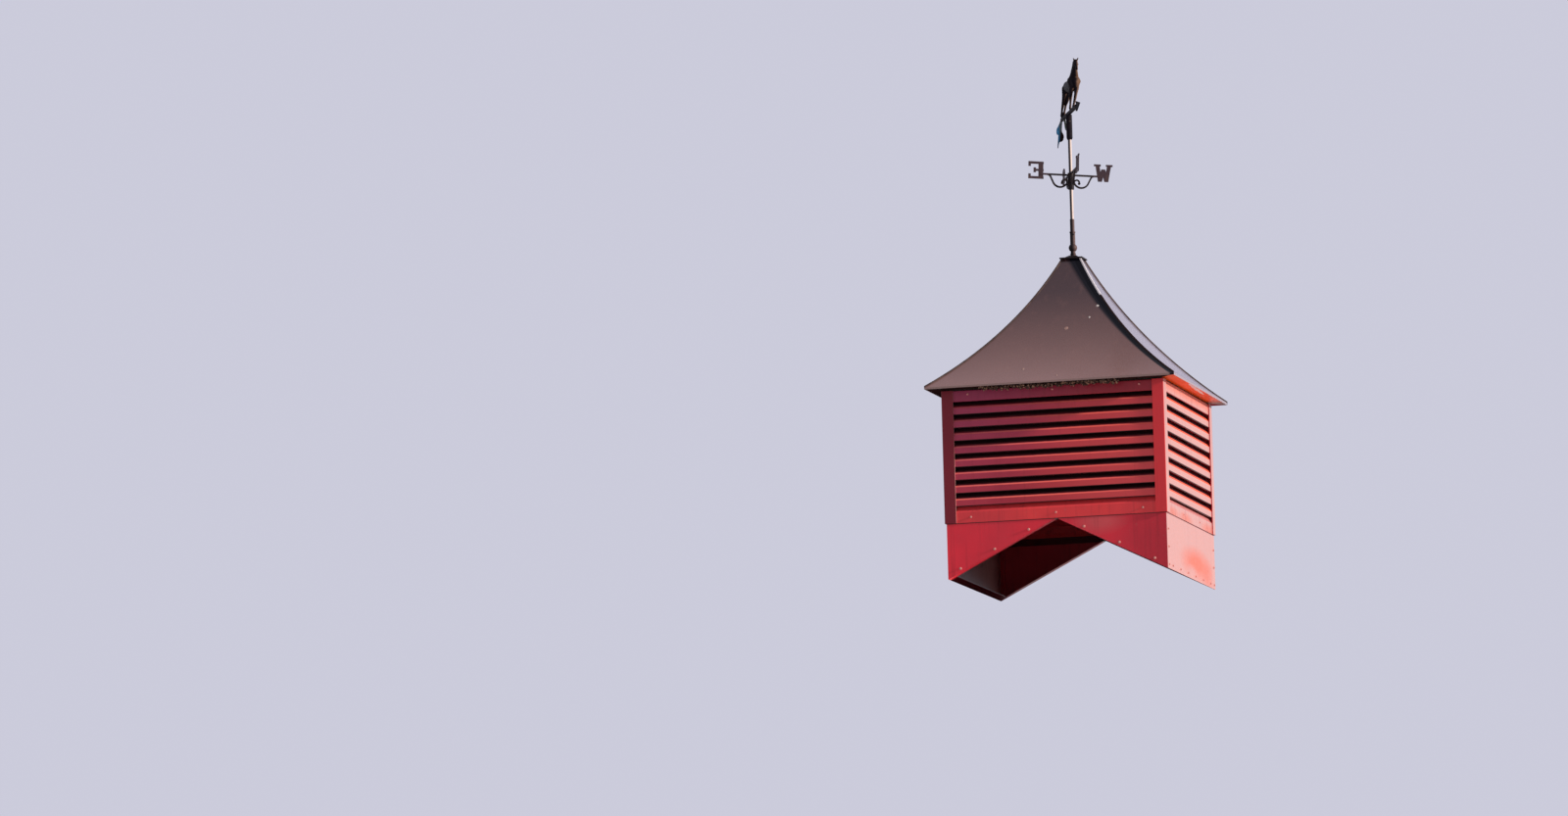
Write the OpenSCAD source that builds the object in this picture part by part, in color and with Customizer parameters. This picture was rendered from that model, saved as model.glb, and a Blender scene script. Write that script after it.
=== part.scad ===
// Steel barn cupola with a bell-cast roof, compass arms and a horse weathervane.
// Millimetres. +Z is up, the front faces -Y, and the ridge that it sits on runs along Y.
// The origin is the centre of the plan, at the bottom edge of the base's side walls.

/* [Body] */
// Width of the body over the corner posts
body_w = 1219; // [1100:1:1350]
// Thickness of the formed sheet
sheet = 3; // [2:0.5:4]
// Width of a corner post's leg
post_leg = 64; // [52:1:80]
// Thickness of a corner post's folded leg
post_t = 6; // [4:0.5:8]
// Bend radius on the outer corner of a post
post_r = 5; // [3:0.5:6]
// Length that blades and rails run behind a post
post_lap = 16; // [10:1:22]

/* [Base] */
// Rise of the saddle's slope, for 12 of run
saddle_rise = 6; // [4:0.5:8]
// Width of the flange turned in along the bottom edges
flange_w = 40; // [25:1:60]
// Height that the base's walls run up behind the sill rails
base_lap = 34; // [20:1:50]
// Width of the side walls' returns behind the front and back walls
return_w = 25; // [15:1:35]

/* [Louvres] */
// Number of blades on each side
blade_count = 8; // [5:1:10]
// Height from one blade to the next
blade_pitch = 70.6; // [68:0.1:80]
// Height of a blade's upright lip
blade_lip = 34; // [26:1:38]
// Depth of a blade's sloped part
blade_depth = 30; // [24:1:34]
// Rise of a blade's sloped part
blade_rise = 40; // [34:1:44]
// Width of the hem turned in under a lip
blade_hem = 8; // [7:0.5:12]
// Outer radius of the bends in blades and rails
bend_r = 5; // [4.5:0.5:6]
// Height of the sill rail's upright face
sill_face = 58; // [45:1:80]
// Height of the gap above the sill rail's face
sill_gap = 31; // [27:1:40]
// Depth of the sill rail's sloped top
sill_depth = 27; // [22:1:32]
// Height of the head rail's face
head_face = 60; // [45:1:80]
// Width of the flange along the top of a head rail
head_flange = 30; // [26:1:40]
// Height of the closure strip between head rails and soffit
strip_h = 8; // [5:1:15]
// Distance from the head rail's face to the closure strip
strip_set = 9; // [6:1:12]

/* [Roof] */
// Distance that the eaves stand out past the posts
eave_out = 74; // [50:1:110]
// Height of the drip edge around the eaves
drip_h = 10; // [7:1:16]
// Width that the soffit reaches in over the walls
soffit_in = 45; // [38:1:60]
// Height of the roof from the eaves to the cap
roof_rise = 742; // [650:1:820]
// Radius of the roof's bell curve
roof_r = 2130; // [1700:10:3000]
// Half width of the roof under the cap
roof_top = 48; // [40:1:55]
// Width of the seam on each hip
seam_w = 6; // [5:1:14]
// Height of the seam on each hip
seam_h = 7; // [5:1:11]

/* [Cap and rod] */
// Half width of the roof cap
cap_half = 63; // [60:1:80]
// Thickness of the roof cap's edge
cap_edge = 7; // [3:0.5:9]
// Height of the roof cap
cap_h = 22; // [20:1:30]
// Radius of the rod
rod_r = 9.5; // [8:0.5:11]
// Height from the cap's edge to the centre of the ball
ball_z = 65; // [58:1:80]
// Radius of the ball
ball_r = 23; // [20:1:27]
// Radius of the neck under the ball
neck_r = 13; // [12:0.5:15]
// Radius of the lower sleeve
sleeve_r = 14; // [13:0.5:16]
// Length of the lower sleeve above the ball's centre
sleeve_h = 89; // [60:1:120]
// Radius of the upper sleeve
upper_r = 12; // [11.5:0.25:12.5]
// Length of the upper sleeve
upper_h = 68; // [40:1:90]
// Length of rod below the cap's edge
rod_tail = 40; // [20:1:80]

/* [Compass] */
// Height from the cap's edge to the centre of the arms
arm_z = 464; // [400:1:520]
// Radius of the hub
hub_r = 16.5; // [15:0.5:20]
// Length of the hub
hub_h = 91; // [83:1:110]
// Thickness of the arms and scrolls
bar_w = 9; // [7:0.5:11]
// Distance from the rod's axis to the outer end of the letters
letter_end = 234; // [220:1:260]
// Height of the letters
letter_h = 95; // [85:1:110]
// Height of the letters below the arms
letter_drop = 28; // [20:1:40]
// Thickness of the letter plates
letter_t = 5; // [3:0.5:8]
// Height of the north and south arms above the east and west ones
arm_step = 8; // [0:1:10]
// Turn of the compass from the building's axes
compass_turn = 24; // [0:1:45]
// Lean of the arms from level, up towards the north-east
compass_lean = 3.5; // [0:0.5:4]

/* [Vane] */
// Height from the cap's edge to the centre of the arrow
arrow_z = 804; // [740:1:860]
// Length of the vane's tube below the arrow
tube_h = 144; // [100:1:170]
// Radius of the vane's tube
tube_r = 16.5; // [14:0.5:20]
// Running clearance between rod and tube, on the radius
tube_gap = 0.05; // [0.02:0.01:0.1]
// Clearance over the end of the rod
rod_end_gap = 0.3; // [0.2:0.05:0.5]
// Thickness of the arrow's shaft
shaft_w = 16; // [12:1:19]
// Length of the shaft in front of the rod
shaft_front = 250; // [200:1:280]
// Length of the shaft behind the rod
shaft_back = 221; // [200:1:240]
// Length of the arrow head
head_l = 104; // [80:1:120]
// Height of the arrow head
head_h = 54; // [45:1:75]
// Thickness of the arrow head at its barbs
head_t = 9; // [6:0.5:12]
// Thickness of the tail plate
plate_t = 4; // [3:0.5:6]
// Height of the horse from the shaft to its withers
horse_h = 190; // [160:1:220]
// Turn of the arrow from the building's front
vane_turn = 23; // [0:1:359]

/* [Hidden] */

// Sides are counted anticlockwise from the front, seen from above.
FRONT = 0;
RIGHT = 1;
BACK = 2;
LEFT = 3;

half = body_w / 2;
wall_set = post_t + sheet;
base_half = half - wall_set;
slope = saddle_rise / 12;
slope_angle = atan(slope);
foot_z = slope * (base_half - sheet);
base_top = foot_z + base_lap;
rail_len = body_w - 2 * (post_leg - post_lap);
head_z = foot_z + sill_face + sill_gap + blade_count * blade_pitch;
strip_z = head_z + head_face;
soffit_z = strip_z + strip_h;
eave_half = half + eave_out;
eave_z = soffit_z + drip_h - sheet / 2;
cap_z = eave_z + roof_rise;

red = [0.62, 0.13, 0.15];
bronze = [0.36, 0.26, 0.25];
iron = [0.13, 0.11, 0.11];
copper = [0.45, 0.25, 0.16];

// A sheet bent along a path: the path is the outer face, t is the thickness to its right.
function unit(v) = v / norm(v);
function right_of(v) = [v.y, -v.x];
function mitre(p, i, t) =
    let (
        a = right_of(unit(p[max(i, 1)] - p[max(i, 1) - 1])),
        b = right_of(unit(p[min(i, len(p) - 2) + 1] - p[min(i, len(p) - 2)])),
        m = unit(a + b)
    ) p[i] + m * t / (m * a);
function bent_sheet(p, t) = concat(p, [for (i = [len(p) - 1:-1:0]) mitre(p, i, t)]);

// The same path with an arc at each of its inner corners.
bend_steps = 3;
function turned(v, angle) =
    [v.x * cos(angle) - v.y * sin(angle), v.x * sin(angle) + v.y * cos(angle)];
function bend_at(p, q, s) =
    let (
        a = unit(q - p),
        b = unit(s - q),
        turn = atan2(a.x * b.y - a.y * b.x, a * b),
        side = sign(turn) * [-a.y, a.x],
        centre = q + bend_r * (side - a * tan(abs(turn) / 2))
    ) [for (k = [0:bend_steps]) centre - bend_r * turned(side, turn * k / bend_steps)];
function folded(p) = bent_sheet(concat([p[0]],
    [for (i = [1:len(p) - 2]) each bend_at(p[i - 1], p[i], p[i + 1])], [p[len(p) - 1]]), sheet);

module on_side(side) {
    rotate([0, 0, 90 * side]) children();
}

// Runs a profile of depth and height along a side, its face set back from the posts' face.
module run(side, length, set, z) {
    on_side(side) translate([0, set - half, z]) rotate([90, 0, 90])
        linear_extrude(length, center = true) children();
}

// Front and back walls of the base, notched to sit astride the ridge.
module gable_wall(side) {
    notch = [[-base_half + sheet, 0], [0, foot_z], [base_half - sheet, 0]];
    lift = sheet / cos(slope_angle);
    color(red) on_side(side) translate([0, -base_half, 0]) {
        rotate([90, 0, 0]) translate([0, 0, -sheet]) linear_extrude(sheet)
            polygon(concat([[-base_half, base_top], [-base_half, 0]], notch,
                [[base_half, 0], [base_half, base_top]]));
        rotate([90, 0, 0]) translate([0, 0, -sheet - flange_w]) linear_extrude(flange_w + sheet)
            polygon(concat(notch, [[base_half - sheet, lift], [0, foot_z + lift],
                [-base_half + sheet, lift]]));
    }
}

// Side walls of the base, with a sloped flange along the bottom and returns at the ends.
module eave_wall(side) {
    wall_len = 2 * (base_half - sheet);
    tip = flange_w * [cos(slope_angle), sin(slope_angle)];
    return_z = slope * return_w + 2 * sheet;
    color(red) {
        run(side, wall_len, wall_set, 0) square([sheet, base_top]);
        run(side, wall_len - 2 * flange_w - 2, wall_set + sheet, 0)
            polygon([[0, 0], tip, tip + [0, sheet / cos(slope_angle)], [0, sheet / cos(slope_angle)]]);
        on_side(side) for (end = [-1, 1]) mirror([end < 0 ? 1 : 0, 0, 0])
            translate([wall_len / 2 - sheet, -base_half + sheet, return_z])
                cube([sheet, return_w, base_top - return_z]);
    }
}

// Corner posts: an angle of doubled sheet with a bent outer corner.
module post(side) {
    color(red) on_side(side) translate([half, -half, foot_z]) mirror([1, 0, 0])
        linear_extrude(strip_z - foot_z) difference() {
            square(post_leg);
            translate([post_t, post_t]) square(post_leg);
            difference() {
                translate([-1, -1]) square(post_r + 1);
                translate([post_r, post_r]) circle(post_r, $fn = 48);
            }
        }
}

module sill_rail(side) {
    top = sill_depth * [1, blade_rise / blade_depth];
    color(red) run(side, rail_len, post_t, foot_z)
        polygon(folded([[0, 0], [0, sill_face], [0, sill_face] + top]));
}

// The blades of one side, each bent from one sheet: hem, upright lip and sloped part.
module louvres(side) {
    for (i = [0:blade_count - 1])
        color(red) run(side, rail_len, post_t, foot_z + sill_face + sill_gap + i * blade_pitch)
            polygon(folded([[blade_hem, 0], [0, 0], [0, blade_lip],
                [blade_depth, blade_lip + blade_rise]]));
}

module head_rail(side) {
    color(red) run(side, rail_len, post_t, head_z)
        polygon(folded([[blade_hem, 0], [0, 0], [0, head_face], [head_flange, head_face]]));
}

module closure_strip() {
    outer = half - post_t - strip_set;
    inner = half - post_t - head_flange;
    color(iron) translate([0, 0, strip_z]) linear_extrude(strip_h) difference() {
        square(2 * outer, center = true);
        square(2 * inner, center = true);
    }
}

// A quarter of the plan, mitred at the hips, on the right side of the building.
module quarter() {
    reach = 1.1 * eave_half;
    polygon([[0, 0], [reach, -reach], [reach, reach]]);
}

// The roof parts' sides count from the right, so the front is one turn back.
module roof_side(side) {
    rotate([0, 0, 90 * (side - RIGHT)]) children();
}

module soffit(side) {
    outer = eave_half - sheet;
    color(red) roof_side(side) translate([0, 0, soffit_z]) linear_extrude(sheet) intersection() {
        quarter();
        translate([half - soffit_in, -outer]) square([outer - half + soffit_in, 2 * outer]);
    }
}

// Centre of the bell curve's circle, in the plane of half width and height.
chord = [roof_top - eave_half, roof_rise];
curve_centre = [eave_half, eave_z] + chord / 2
    + sqrt(roof_r * roof_r - chord * chord / 4) * right_of(unit(chord));

module bell_band(near, far) {
    translate(curve_centre) difference() {
        circle(roof_r + far, $fn = 720);
        circle(roof_r + near, $fn = 720);
    }
}

// Roof panels: one sheet rolled to a single curve, with a drip edge bent down at the eave.
module roof_panel(side) {
    color(bronze) roof_side(side) intersection() {
        rotate([90, 0, 0]) linear_extrude(2 * eave_half, center = true) {
            intersection() {
                bell_band(0, sheet);
                translate([0, eave_z - sheet]) square([eave_half, cap_z - eave_z + sheet]);
            }
            translate([eave_half - sheet, eave_z - drip_h]) square([sheet, drip_h]);
        }
        translate([0, 0, soffit_z - drip_h]) linear_extrude(roof_rise + 4 * drip_h) quarter();
    }
}

// One half of the seam on the hip at the panel's left, on the panel itself.
module half_seam() {
    strip = seam_w / sqrt(2);
    intersection() {
        rotate([90, 0, 0]) linear_extrude(2 * eave_half, center = true) intersection() {
            bell_band(-seam_h, 0);
            translate([0, eave_z]) square([eave_half, cap_z - eave_z]);
        }
        translate([0, 0, soffit_z]) linear_extrude(roof_rise + 2 * drip_h)
            polygon([[0, 0], [eave_half, eave_half], [eave_half, eave_half - strip], [strip, 0]]);
    }
}

// Standing seams, each folded from the edges of both panels that meet at the hip.
module hip_seams() {
    color(bronze) for (side = [FRONT:LEFT]) roof_side(side) {
        half_seam();
        mirror([1, -1, 0]) half_seam();
    }
}

// Roof cap: a low pyramid with flared edges, bored for the rod.
cap_waist = [0.6 * cap_half, 0.5 * cap_h];
cap_top = 0.3 * cap_half;

module roof_cap() {
    shape = [[cap_half, 0], [cap_half, cap_edge], cap_waist, [cap_top, cap_h]];
    outline = concat(shape, [for (i = [len(shape) - 1:-1:0]) [-shape[i].x, shape[i].y]]);
    color(iron) translate([0, 0, cap_z]) difference() {
        intersection() {
            rotate([90, 0, 0]) linear_extrude(2 * cap_half, center = true) polygon(outline);
            rotate([90, 0, 90]) linear_extrude(2 * cap_half, center = true) polygon(outline);
        }
        translate([0, 0, -1]) cylinder(cap_h + 2, r = rod_r, $fn = 64);
    }
}

// Ball finial with its neck and two sleeves, turned in one piece round the rod.
foot_h = 4;
bead_r = 3;
collar_h = 6;
collar_out = 2;

module ball_socket() {
    sleeve_top = ball_z + sleeve_h;
    color(iron) translate([0, 0, cap_z]) rotate_extrude($fn = 96) difference() {
        union() {
            translate([0, cap_h]) square([0.9 * cap_top, foot_h]);
            translate([0, cap_h]) square([neck_r, ball_z - cap_h]);
            translate([neck_r, cap_h + foot_h + 2 * bead_r]) circle(bead_r, $fn = 32);
            intersection() {
                translate([0, ball_z]) circle(ball_r, $fn = 96);
                translate([0, ball_z - ball_r]) square([ball_r, 2 * ball_r]);
            }
            translate([0, ball_z]) square([sleeve_r, sleeve_h]);
            translate([0, sleeve_top - collar_h]) square([sleeve_r + collar_out, collar_h]);
            translate([0, ball_z]) square([upper_r, sleeve_h + upper_h]);
        }
        translate([-1, 0]) square([rod_r + 1, sleeve_top + upper_h + 1]);
    }
}

rod_top = cap_z + arrow_z - shaft_w / 2 - rod_end_gap;

module rod() {
    color(iron) translate([0, 0, cap_z - rod_tail])
        cylinder(rod_top - cap_z + rod_tail, r = rod_r, $fn = 64);
}

module compass_hub() {
    color(iron) translate([0, 0, cap_z + arm_z + arm_step + bar_w / 2 - hub_h]) difference() {
        cylinder(hub_h, r = hub_r, $fn = 64);
        translate([0, 0, -1]) cylinder(hub_h + 2, r = rod_r, $fn = 64);
    }
}

// Letters as plates, outwards along x and up along y, with slab ends on every stroke.
module letter_e(w, h) {
    s = 0.28 * h;
    t = 0.14 * h;
    square([s + 2, t]);
    translate([0, h - t]) square([s + 2, t]);
    translate([2, 0]) square([s, h]);
    for (y = [0, h - t]) translate([0, y]) square([w, t]);
    for (y = [0, 0.72 * h]) translate([w - t, y]) square([t, 0.28 * h]);
    translate([0, 0.45 * h]) square([0.66 * w, 0.12 * h]);
    translate([0.66 * w - t, 0.37 * h]) square([t, 0.28 * h]);
}

module stroke(a, b, w) {
    polygon([a - [w / 2, 0], b - [w / 2, 0], b + [w / 2, 0], a + [w / 2, 0]]);
}

module letter_w(w, h) {
    s = 0.2 * w;
    t = 0.11 * h;
    stroke([0.2 * w, h], [0.34 * w, 0], s);
    stroke([0.34 * w, 0], [0.5 * w, 0.72 * h], s);
    stroke([0.5 * w, 0.72 * h], [0.66 * w, 0], s);
    stroke([0.66 * w, 0], [0.8 * w, h], s);
    for (x = [0.03 * w, 0.63 * w]) translate([x, h - t]) square([0.34 * w, t]);
}

module letter_n(w, h) {
    s = 0.2 * w;
    t = 0.11 * h;
    for (x = [0.1 * w, 0.7 * w]) translate([x, 0]) square([s, h]);
    stroke([0.2 * w, h], [0.8 * w, 0], s);
    translate([0, 0]) square([0.4 * w, t]);
    translate([0, h - t]) square([0.3 * w, t]);
    translate([0.6 * w, h - t]) square([0.4 * w, t]);
}

// The S is two half rings joined at the middle, each closed by a slab end.
module letter_s(w, h) {
    s = 0.2 * h;
    r = (h + s) / 4;
    for (turn = [0, 180]) translate([w / 2, h / 2]) rotate(turn) {
        translate([0, r - s / 2]) difference() {
            circle(r, $fn = 64);
            circle(r - s, $fn = 64);
            translate([0, -r]) square([r, r]);
        }
        translate([r - s, r - s / 2 - 0.12 * h]) square([s, 0.12 * h]);
    }
}

n_width = 85;
e_width = 84;
s_width = 70;
w_width = 110;

// The high side of the compass, counted anticlockwise from the west arm.
lean_to = 215;
arc_lap = 2;
weld_in = 1;
drawn_w = bar_w - 1;
straight_w = bar_w - 0.6;
curl_angle = 30;
curl_end = 20;
flare_lean = 25;

// A length of bar bent to an arc, from one angle round to another.
module arc_band(r, from, to, w = bar_w) {
    middle = (from + to) / 2;
    reach = 3 * r;
    intersection() {
        difference() {
            circle(r + w / 2, $fn = 96);
            circle(r - w / 2, $fn = 96);
        }
        union() {
            polygon([[0, 0], reach * [cos(from), sin(from)], reach * [cos(middle), sin(middle)]]);
            polygon([[0, 0], reach * [cos(middle), sin(middle)], reach * [cos(to), sin(to)]]);
        }
    }
}

// Scroll under a bar, whose middle is at the height of y = 0: it flares off the bar, slants down,
// sweeps round below and curls up beside the hub, where its end is drawn down thinner.
module scroll(inner, drop, sweep_r, curl_r, flare_r) {
    curl = [inner + bar_w / 2 + curl_r - weld_in, -drop];
    sweep = curl + (sweep_r - curl_r) * [cos(curl_angle), sin(curl_angle)];
    outwards = [cos(flare_lean), -sin(flare_lean)];
    along = [-outwards.y, outwards.x];
    low = sweep + sweep_r * outwards;
    flare_y = -flare_r - weld_in;
    rise = (flare_y - flare_r * outwards.y - low.y) / along.y;
    high = low + rise * along;
    translate(sweep) arc_band(sweep_r, 180 + curl_angle, 360 - flare_lean);
    translate(curl) arc_band(curl_r, -curl_end, 180 + curl_angle + arc_lap, drawn_w);
    translate(curl + curl_r * [cos(curl_end), -sin(curl_end)]) circle(0.75 * bar_w, $fn = 32);
    translate(high + flare_r * outwards) arc_band(flare_r, 90, 180 - flare_lean);
    translate(low) rotate(-flare_lean) translate([-straight_w / 2, -arc_lap])
        square([straight_w, rise + 2 * arc_lap]);
}

// A compass arm: bar, scroll and letter in one welded piece, fitted to the hub.
// bar_in is how far the bar reaches into the letter.
module arm(turn, width, bar_in, step = 0) {
    start = letter_end - width;
    color(iron) translate([0, 0, cap_z + arm_z + step]) difference() {
        rotate([0, 0, compass_turn]) rotate(compass_lean, [sin(lean_to), -cos(lean_to), 0])
            rotate([90, 0, turn]) {
                linear_extrude(bar_w, center = true) {
                    translate([0, -bar_w / 2]) square([start + bar_in, bar_w]);
                    scroll(inner = hub_r, drop = 40, sweep_r = 42, curl_r = 14, flare_r = 20);
                }
                translate([start, -letter_drop]) linear_extrude(letter_t, center = true) children();
            }
        translate([0, 0, -hub_h]) cylinder(2 * hub_h, r = hub_r, $fn = 64);
    }
}

module on_vane() {
    translate([0, 0, cap_z + arrow_z]) rotate([0, 0, vane_turn - 90]) children();
}

// Tube that turns on the rod, with a tapered foot.
tube_foot = 9;

module vane_tube() {
    bore = rod_r + tube_gap;
    color(iron) on_vane() translate([0, 0, -tube_h]) rotate_extrude($fn = 96)
        polygon([[bore, 0], [(bore + tube_r) / 2, 0], [tube_r, tube_foot],
            [tube_r, tube_h - shaft_w / 2], [bore, tube_h - shaft_w / 2]]);
}

module arrow_shaft() {
    color(iron) on_vane() translate([-shaft_back, -shaft_w / 2, -shaft_w / 2])
        cube([shaft_back + shaft_front, shaft_w, shaft_w]);
}

// Arrow head: barbed from the side, and tapered to the point from above.
module arrow_head() {
    barb = 0.15 * head_l;
    color(iron) on_vane() translate([shaft_front, 0, 0]) intersection() {
        rotate([90, 0, 0]) linear_extrude(head_t, center = true)
            polygon([[0, -shaft_w / 2], [-barb, -head_h / 2], [head_l, 0],
                [-barb, head_h / 2], [0, shaft_w / 2]]);
        linear_extrude(head_h, center = true)
            polygon([[-barb, -head_t / 2], [0, -head_t / 2], [head_l, -1], [head_l, 1],
                [0, head_t / 2], [-barb, head_t / 2]]);
    }
}

// A smooth closed curve through a few points.
curve_steps = 6;
function curve_at(p, i, t) =
    let (
        n = len(p),
        a = p[(i + n - 1) % n],
        b = p[i],
        c = p[(i + 1) % n],
        d = p[(i + 2) % n]
    ) b + (c - a) * t / 2 + (2 * a - 5 * b + 4 * c - d) * t * t / 2
        + (3 * b - a - 3 * c + d) * t * t * t / 2;
function smooth_loop(p) =
    [for (i = [0:len(p) - 1], k = [0:curve_steps - 1]) curve_at(p, i, k / curve_steps)];

// Tail feather that droops from the shaft's end: a lobe behind, a lobe in front and a thin stem.
module arrow_tail() {
    root = [[12, 5], [-30, 4]];
    back_lobe = [[-100, -14], [-155, -22], [-169, -38], [-150, -56], [-96, -68]];
    stem = [[-112, -88], [-134, -108], [-150, -131], [-124, -114], [-98, -106]];
    front_lobe = [[-50, -112], [6, -113], [37, -99], [20, -80], [-14, -62], [-12, -34], [6, -12]];
    color(copper) on_vane() translate([-shaft_back, 0, 0]) rotate([90, 0, 0])
        linear_extrude(plate_t, center = true) difference() {
            polygon(smooth_loop(concat(root, back_lobe, stem, front_lobe)));
            translate([0, -shaft_w / 2]) square([shaft_back, shaft_w]);
        }
}

// Scroll brace between the shaft and the tube, behind the tube.
module vane_scroll() {
    color(iron) on_vane() difference() {
        translate([0, 0, -shaft_w / 2 - weld_in]) rotate([90, 0, 180])
            linear_extrude(bar_w, center = true)
                scroll(inner = tube_r, drop = 32, sweep_r = 54, curl_r = 18, flare_r = 28);
        translate([-shaft_back, -shaft_w / 2, -shaft_w / 2]) cube([2 * shaft_back, shaft_w, shaft_w]);
        translate([0, 0, -tube_h]) cylinder(2 * tube_h, r = tube_r, $fn = 96);
    }
}

// A ball at a point of x, y, z and radius, flattened from side to side.
module ball_at(p, flat) {
    translate([p[0], p[1], p[2]]) scale([1, flat, 1]) sphere(p[3], $fn = 16);
}

module limb(points, flat = 1) {
    for (i = [0:len(points) - 2]) hull() {
        ball_at(points[i], flat);
        ball_at(points[i + 1], flat);
    }
}

// The horse, walking: every point is x, y, z and radius on a horse as high as drawn_h.
drawn_h = 190;

module horse() {
    reach = 2 * drawn_h;
    color(copper) on_vane() translate([0, 0, shaft_w / 2]) scale(horse_h / drawn_h) intersection() {
        union() {
            limb([[-170, 0, 160, 25], [-142, 0, 160, 32], [-95, 0, 153, 32], [-30, 0, 147, 36],
                [35, 0, 148, 38], [75, 0, 153, 35], [102, 0, 144, 26]], 0.72);
            limb([[72, 0, 168, 28], [98, 0, 196, 21], [122, 0, 224, 16], [142, 0, 248, 13]], 0.68);
            limb([[145, 0, 250, 12], [158, 0, 238, 12.5], [178, 0, 215, 8], [187, 0, 204, 7.5]], 0.88);
            limb([[141, 0, 263, 3], [118, 0, 240, 5], [84, 0, 206, 6], [52, 0, 186, 6]], 0.5);
            limb([[-192, 0, 172, 7], [-208, 0, 150, 9], [-216, 0, 112, 10], [-214, 0, 76, 7],
                [-210, 0, 52, 3]], 0.7);
            for (s = [-1, 1]) {
                limb([[147, 6 * s, 256, 4.5], [150, 11 * s, 266, 3.5], [153, 15 * s, 274, 1.2]]);
                limb([[84, 10 * s, 150, 18], [84, 13 * s, 116, 14]]);
                limb([[-152, 9 * s, 152, 22], [-150, 13 * s, 124, 18]]);
            }
            limb([[84, 13, 116, 14], [97, 12, 88, 9], [108, 9, 60, 7], [112, 6, 30, 4.5],
                [112, 5, 15, 5.5], [118, 4, 5, 6]]);
            limb([[84, -13, 116, 14], [76, -12, 88, 9], [72, -9, 60, 7], [65, -6, 30, 4.5],
                [61, -5, 15, 5.5], [66, -4, 5, 6]]);
            limb([[-150, 13, 124, 18], [-160, 12, 98, 13], [-186, 9, 70, 8], [-189, 6, 38, 5],
                [-188, 5, 16, 6], [-182, 4, 5, 6.5]]);
            limb([[-150, -13, 124, 18], [-166, -12, 98, 13], [-196, -9, 70, 8], [-202, -6, 38, 5],
                [-202, -5, 16, 6], [-196, -4, 5, 6.5]]);
        }
        translate([-reach, -reach, 0]) cube(2 * reach);
    }
}

gable_wall(FRONT);  // base_front
eave_wall(RIGHT);  // base_right
gable_wall(BACK);  // base_back
eave_wall(LEFT);  // base_left
post(FRONT);  // post_front_right
post(RIGHT);  // post_back_right
post(BACK);  // post_back_left
post(LEFT);  // post_front_left
sill_rail(FRONT);  // sill_front
sill_rail(RIGHT);  // sill_right
sill_rail(BACK);  // sill_back
sill_rail(LEFT);  // sill_left
louvres(FRONT);  // louvres_front
louvres(RIGHT);  // louvres_right
louvres(BACK);  // louvres_back
louvres(LEFT);  // louvres_left
head_rail(FRONT);  // head_front
head_rail(RIGHT);  // head_right
head_rail(BACK);  // head_back
head_rail(LEFT);  // head_left
closure_strip();
soffit(FRONT);  // soffit_front
soffit(RIGHT);  // soffit_right
soffit(BACK);  // soffit_back
soffit(LEFT);  // soffit_left
roof_panel(FRONT);  // roof_front
roof_panel(RIGHT);  // roof_right
roof_panel(BACK);  // roof_back
roof_panel(LEFT);  // roof_left
hip_seams();
roof_cap();
ball_socket();
rod();
compass_hub();
arm(270, n_width, 20, arm_step) letter_n(n_width, letter_h);  // arm_north
arm(180, e_width, 20) letter_e(e_width, letter_h);  // arm_east
arm(90, s_width, 50, arm_step) letter_s(s_width, letter_h);  // arm_south
arm(0, w_width, 34) letter_w(w_width, letter_h);  // arm_west
vane_tube();
arrow_shaft();
arrow_head();
arrow_tail();
vane_scroll();
horse();
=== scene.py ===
import math
import random

import bmesh
import bpy
from mathutils import Matrix, Vector
from mathutils import noise as rough
from mathutils.bvhtree import BVHTree


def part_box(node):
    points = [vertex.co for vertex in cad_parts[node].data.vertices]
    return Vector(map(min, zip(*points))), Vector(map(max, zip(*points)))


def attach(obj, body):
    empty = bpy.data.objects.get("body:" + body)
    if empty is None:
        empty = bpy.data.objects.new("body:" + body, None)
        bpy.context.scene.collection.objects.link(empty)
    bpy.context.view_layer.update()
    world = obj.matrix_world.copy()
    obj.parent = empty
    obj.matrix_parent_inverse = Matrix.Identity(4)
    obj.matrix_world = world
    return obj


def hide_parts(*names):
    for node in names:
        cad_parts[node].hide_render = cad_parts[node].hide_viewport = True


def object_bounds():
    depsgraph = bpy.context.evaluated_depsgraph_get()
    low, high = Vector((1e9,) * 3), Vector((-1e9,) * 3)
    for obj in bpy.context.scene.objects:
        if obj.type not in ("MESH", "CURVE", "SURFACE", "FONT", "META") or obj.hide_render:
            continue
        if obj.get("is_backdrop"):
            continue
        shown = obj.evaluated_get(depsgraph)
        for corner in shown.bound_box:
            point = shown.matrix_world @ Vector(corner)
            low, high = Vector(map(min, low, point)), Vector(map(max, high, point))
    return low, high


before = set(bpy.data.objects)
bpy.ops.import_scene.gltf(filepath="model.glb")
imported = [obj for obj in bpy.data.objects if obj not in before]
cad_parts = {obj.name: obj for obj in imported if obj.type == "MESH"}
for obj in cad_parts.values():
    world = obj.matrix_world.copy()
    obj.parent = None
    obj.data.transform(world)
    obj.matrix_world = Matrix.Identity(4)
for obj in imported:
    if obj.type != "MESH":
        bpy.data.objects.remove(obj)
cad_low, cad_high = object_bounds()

# Camera: it stands well below the roof and a little to the right of the front, a long way off.
# Its place and turn come from the corners of the walls and eaves, in an image 1600 wide and 833 high.
IMAGE_WIDTH, IMAGE_HEIGHT = 1600, 833
FOCAL_LENGTH_PX = 8646.4
SENSOR = 36.0
VIEW_REACH = 200
EYE = Vector((10.0592, -44.3085, -4.9476))
TURN, RISE, LEAN = 0.25818, 0.13029, -0.02582

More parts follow.
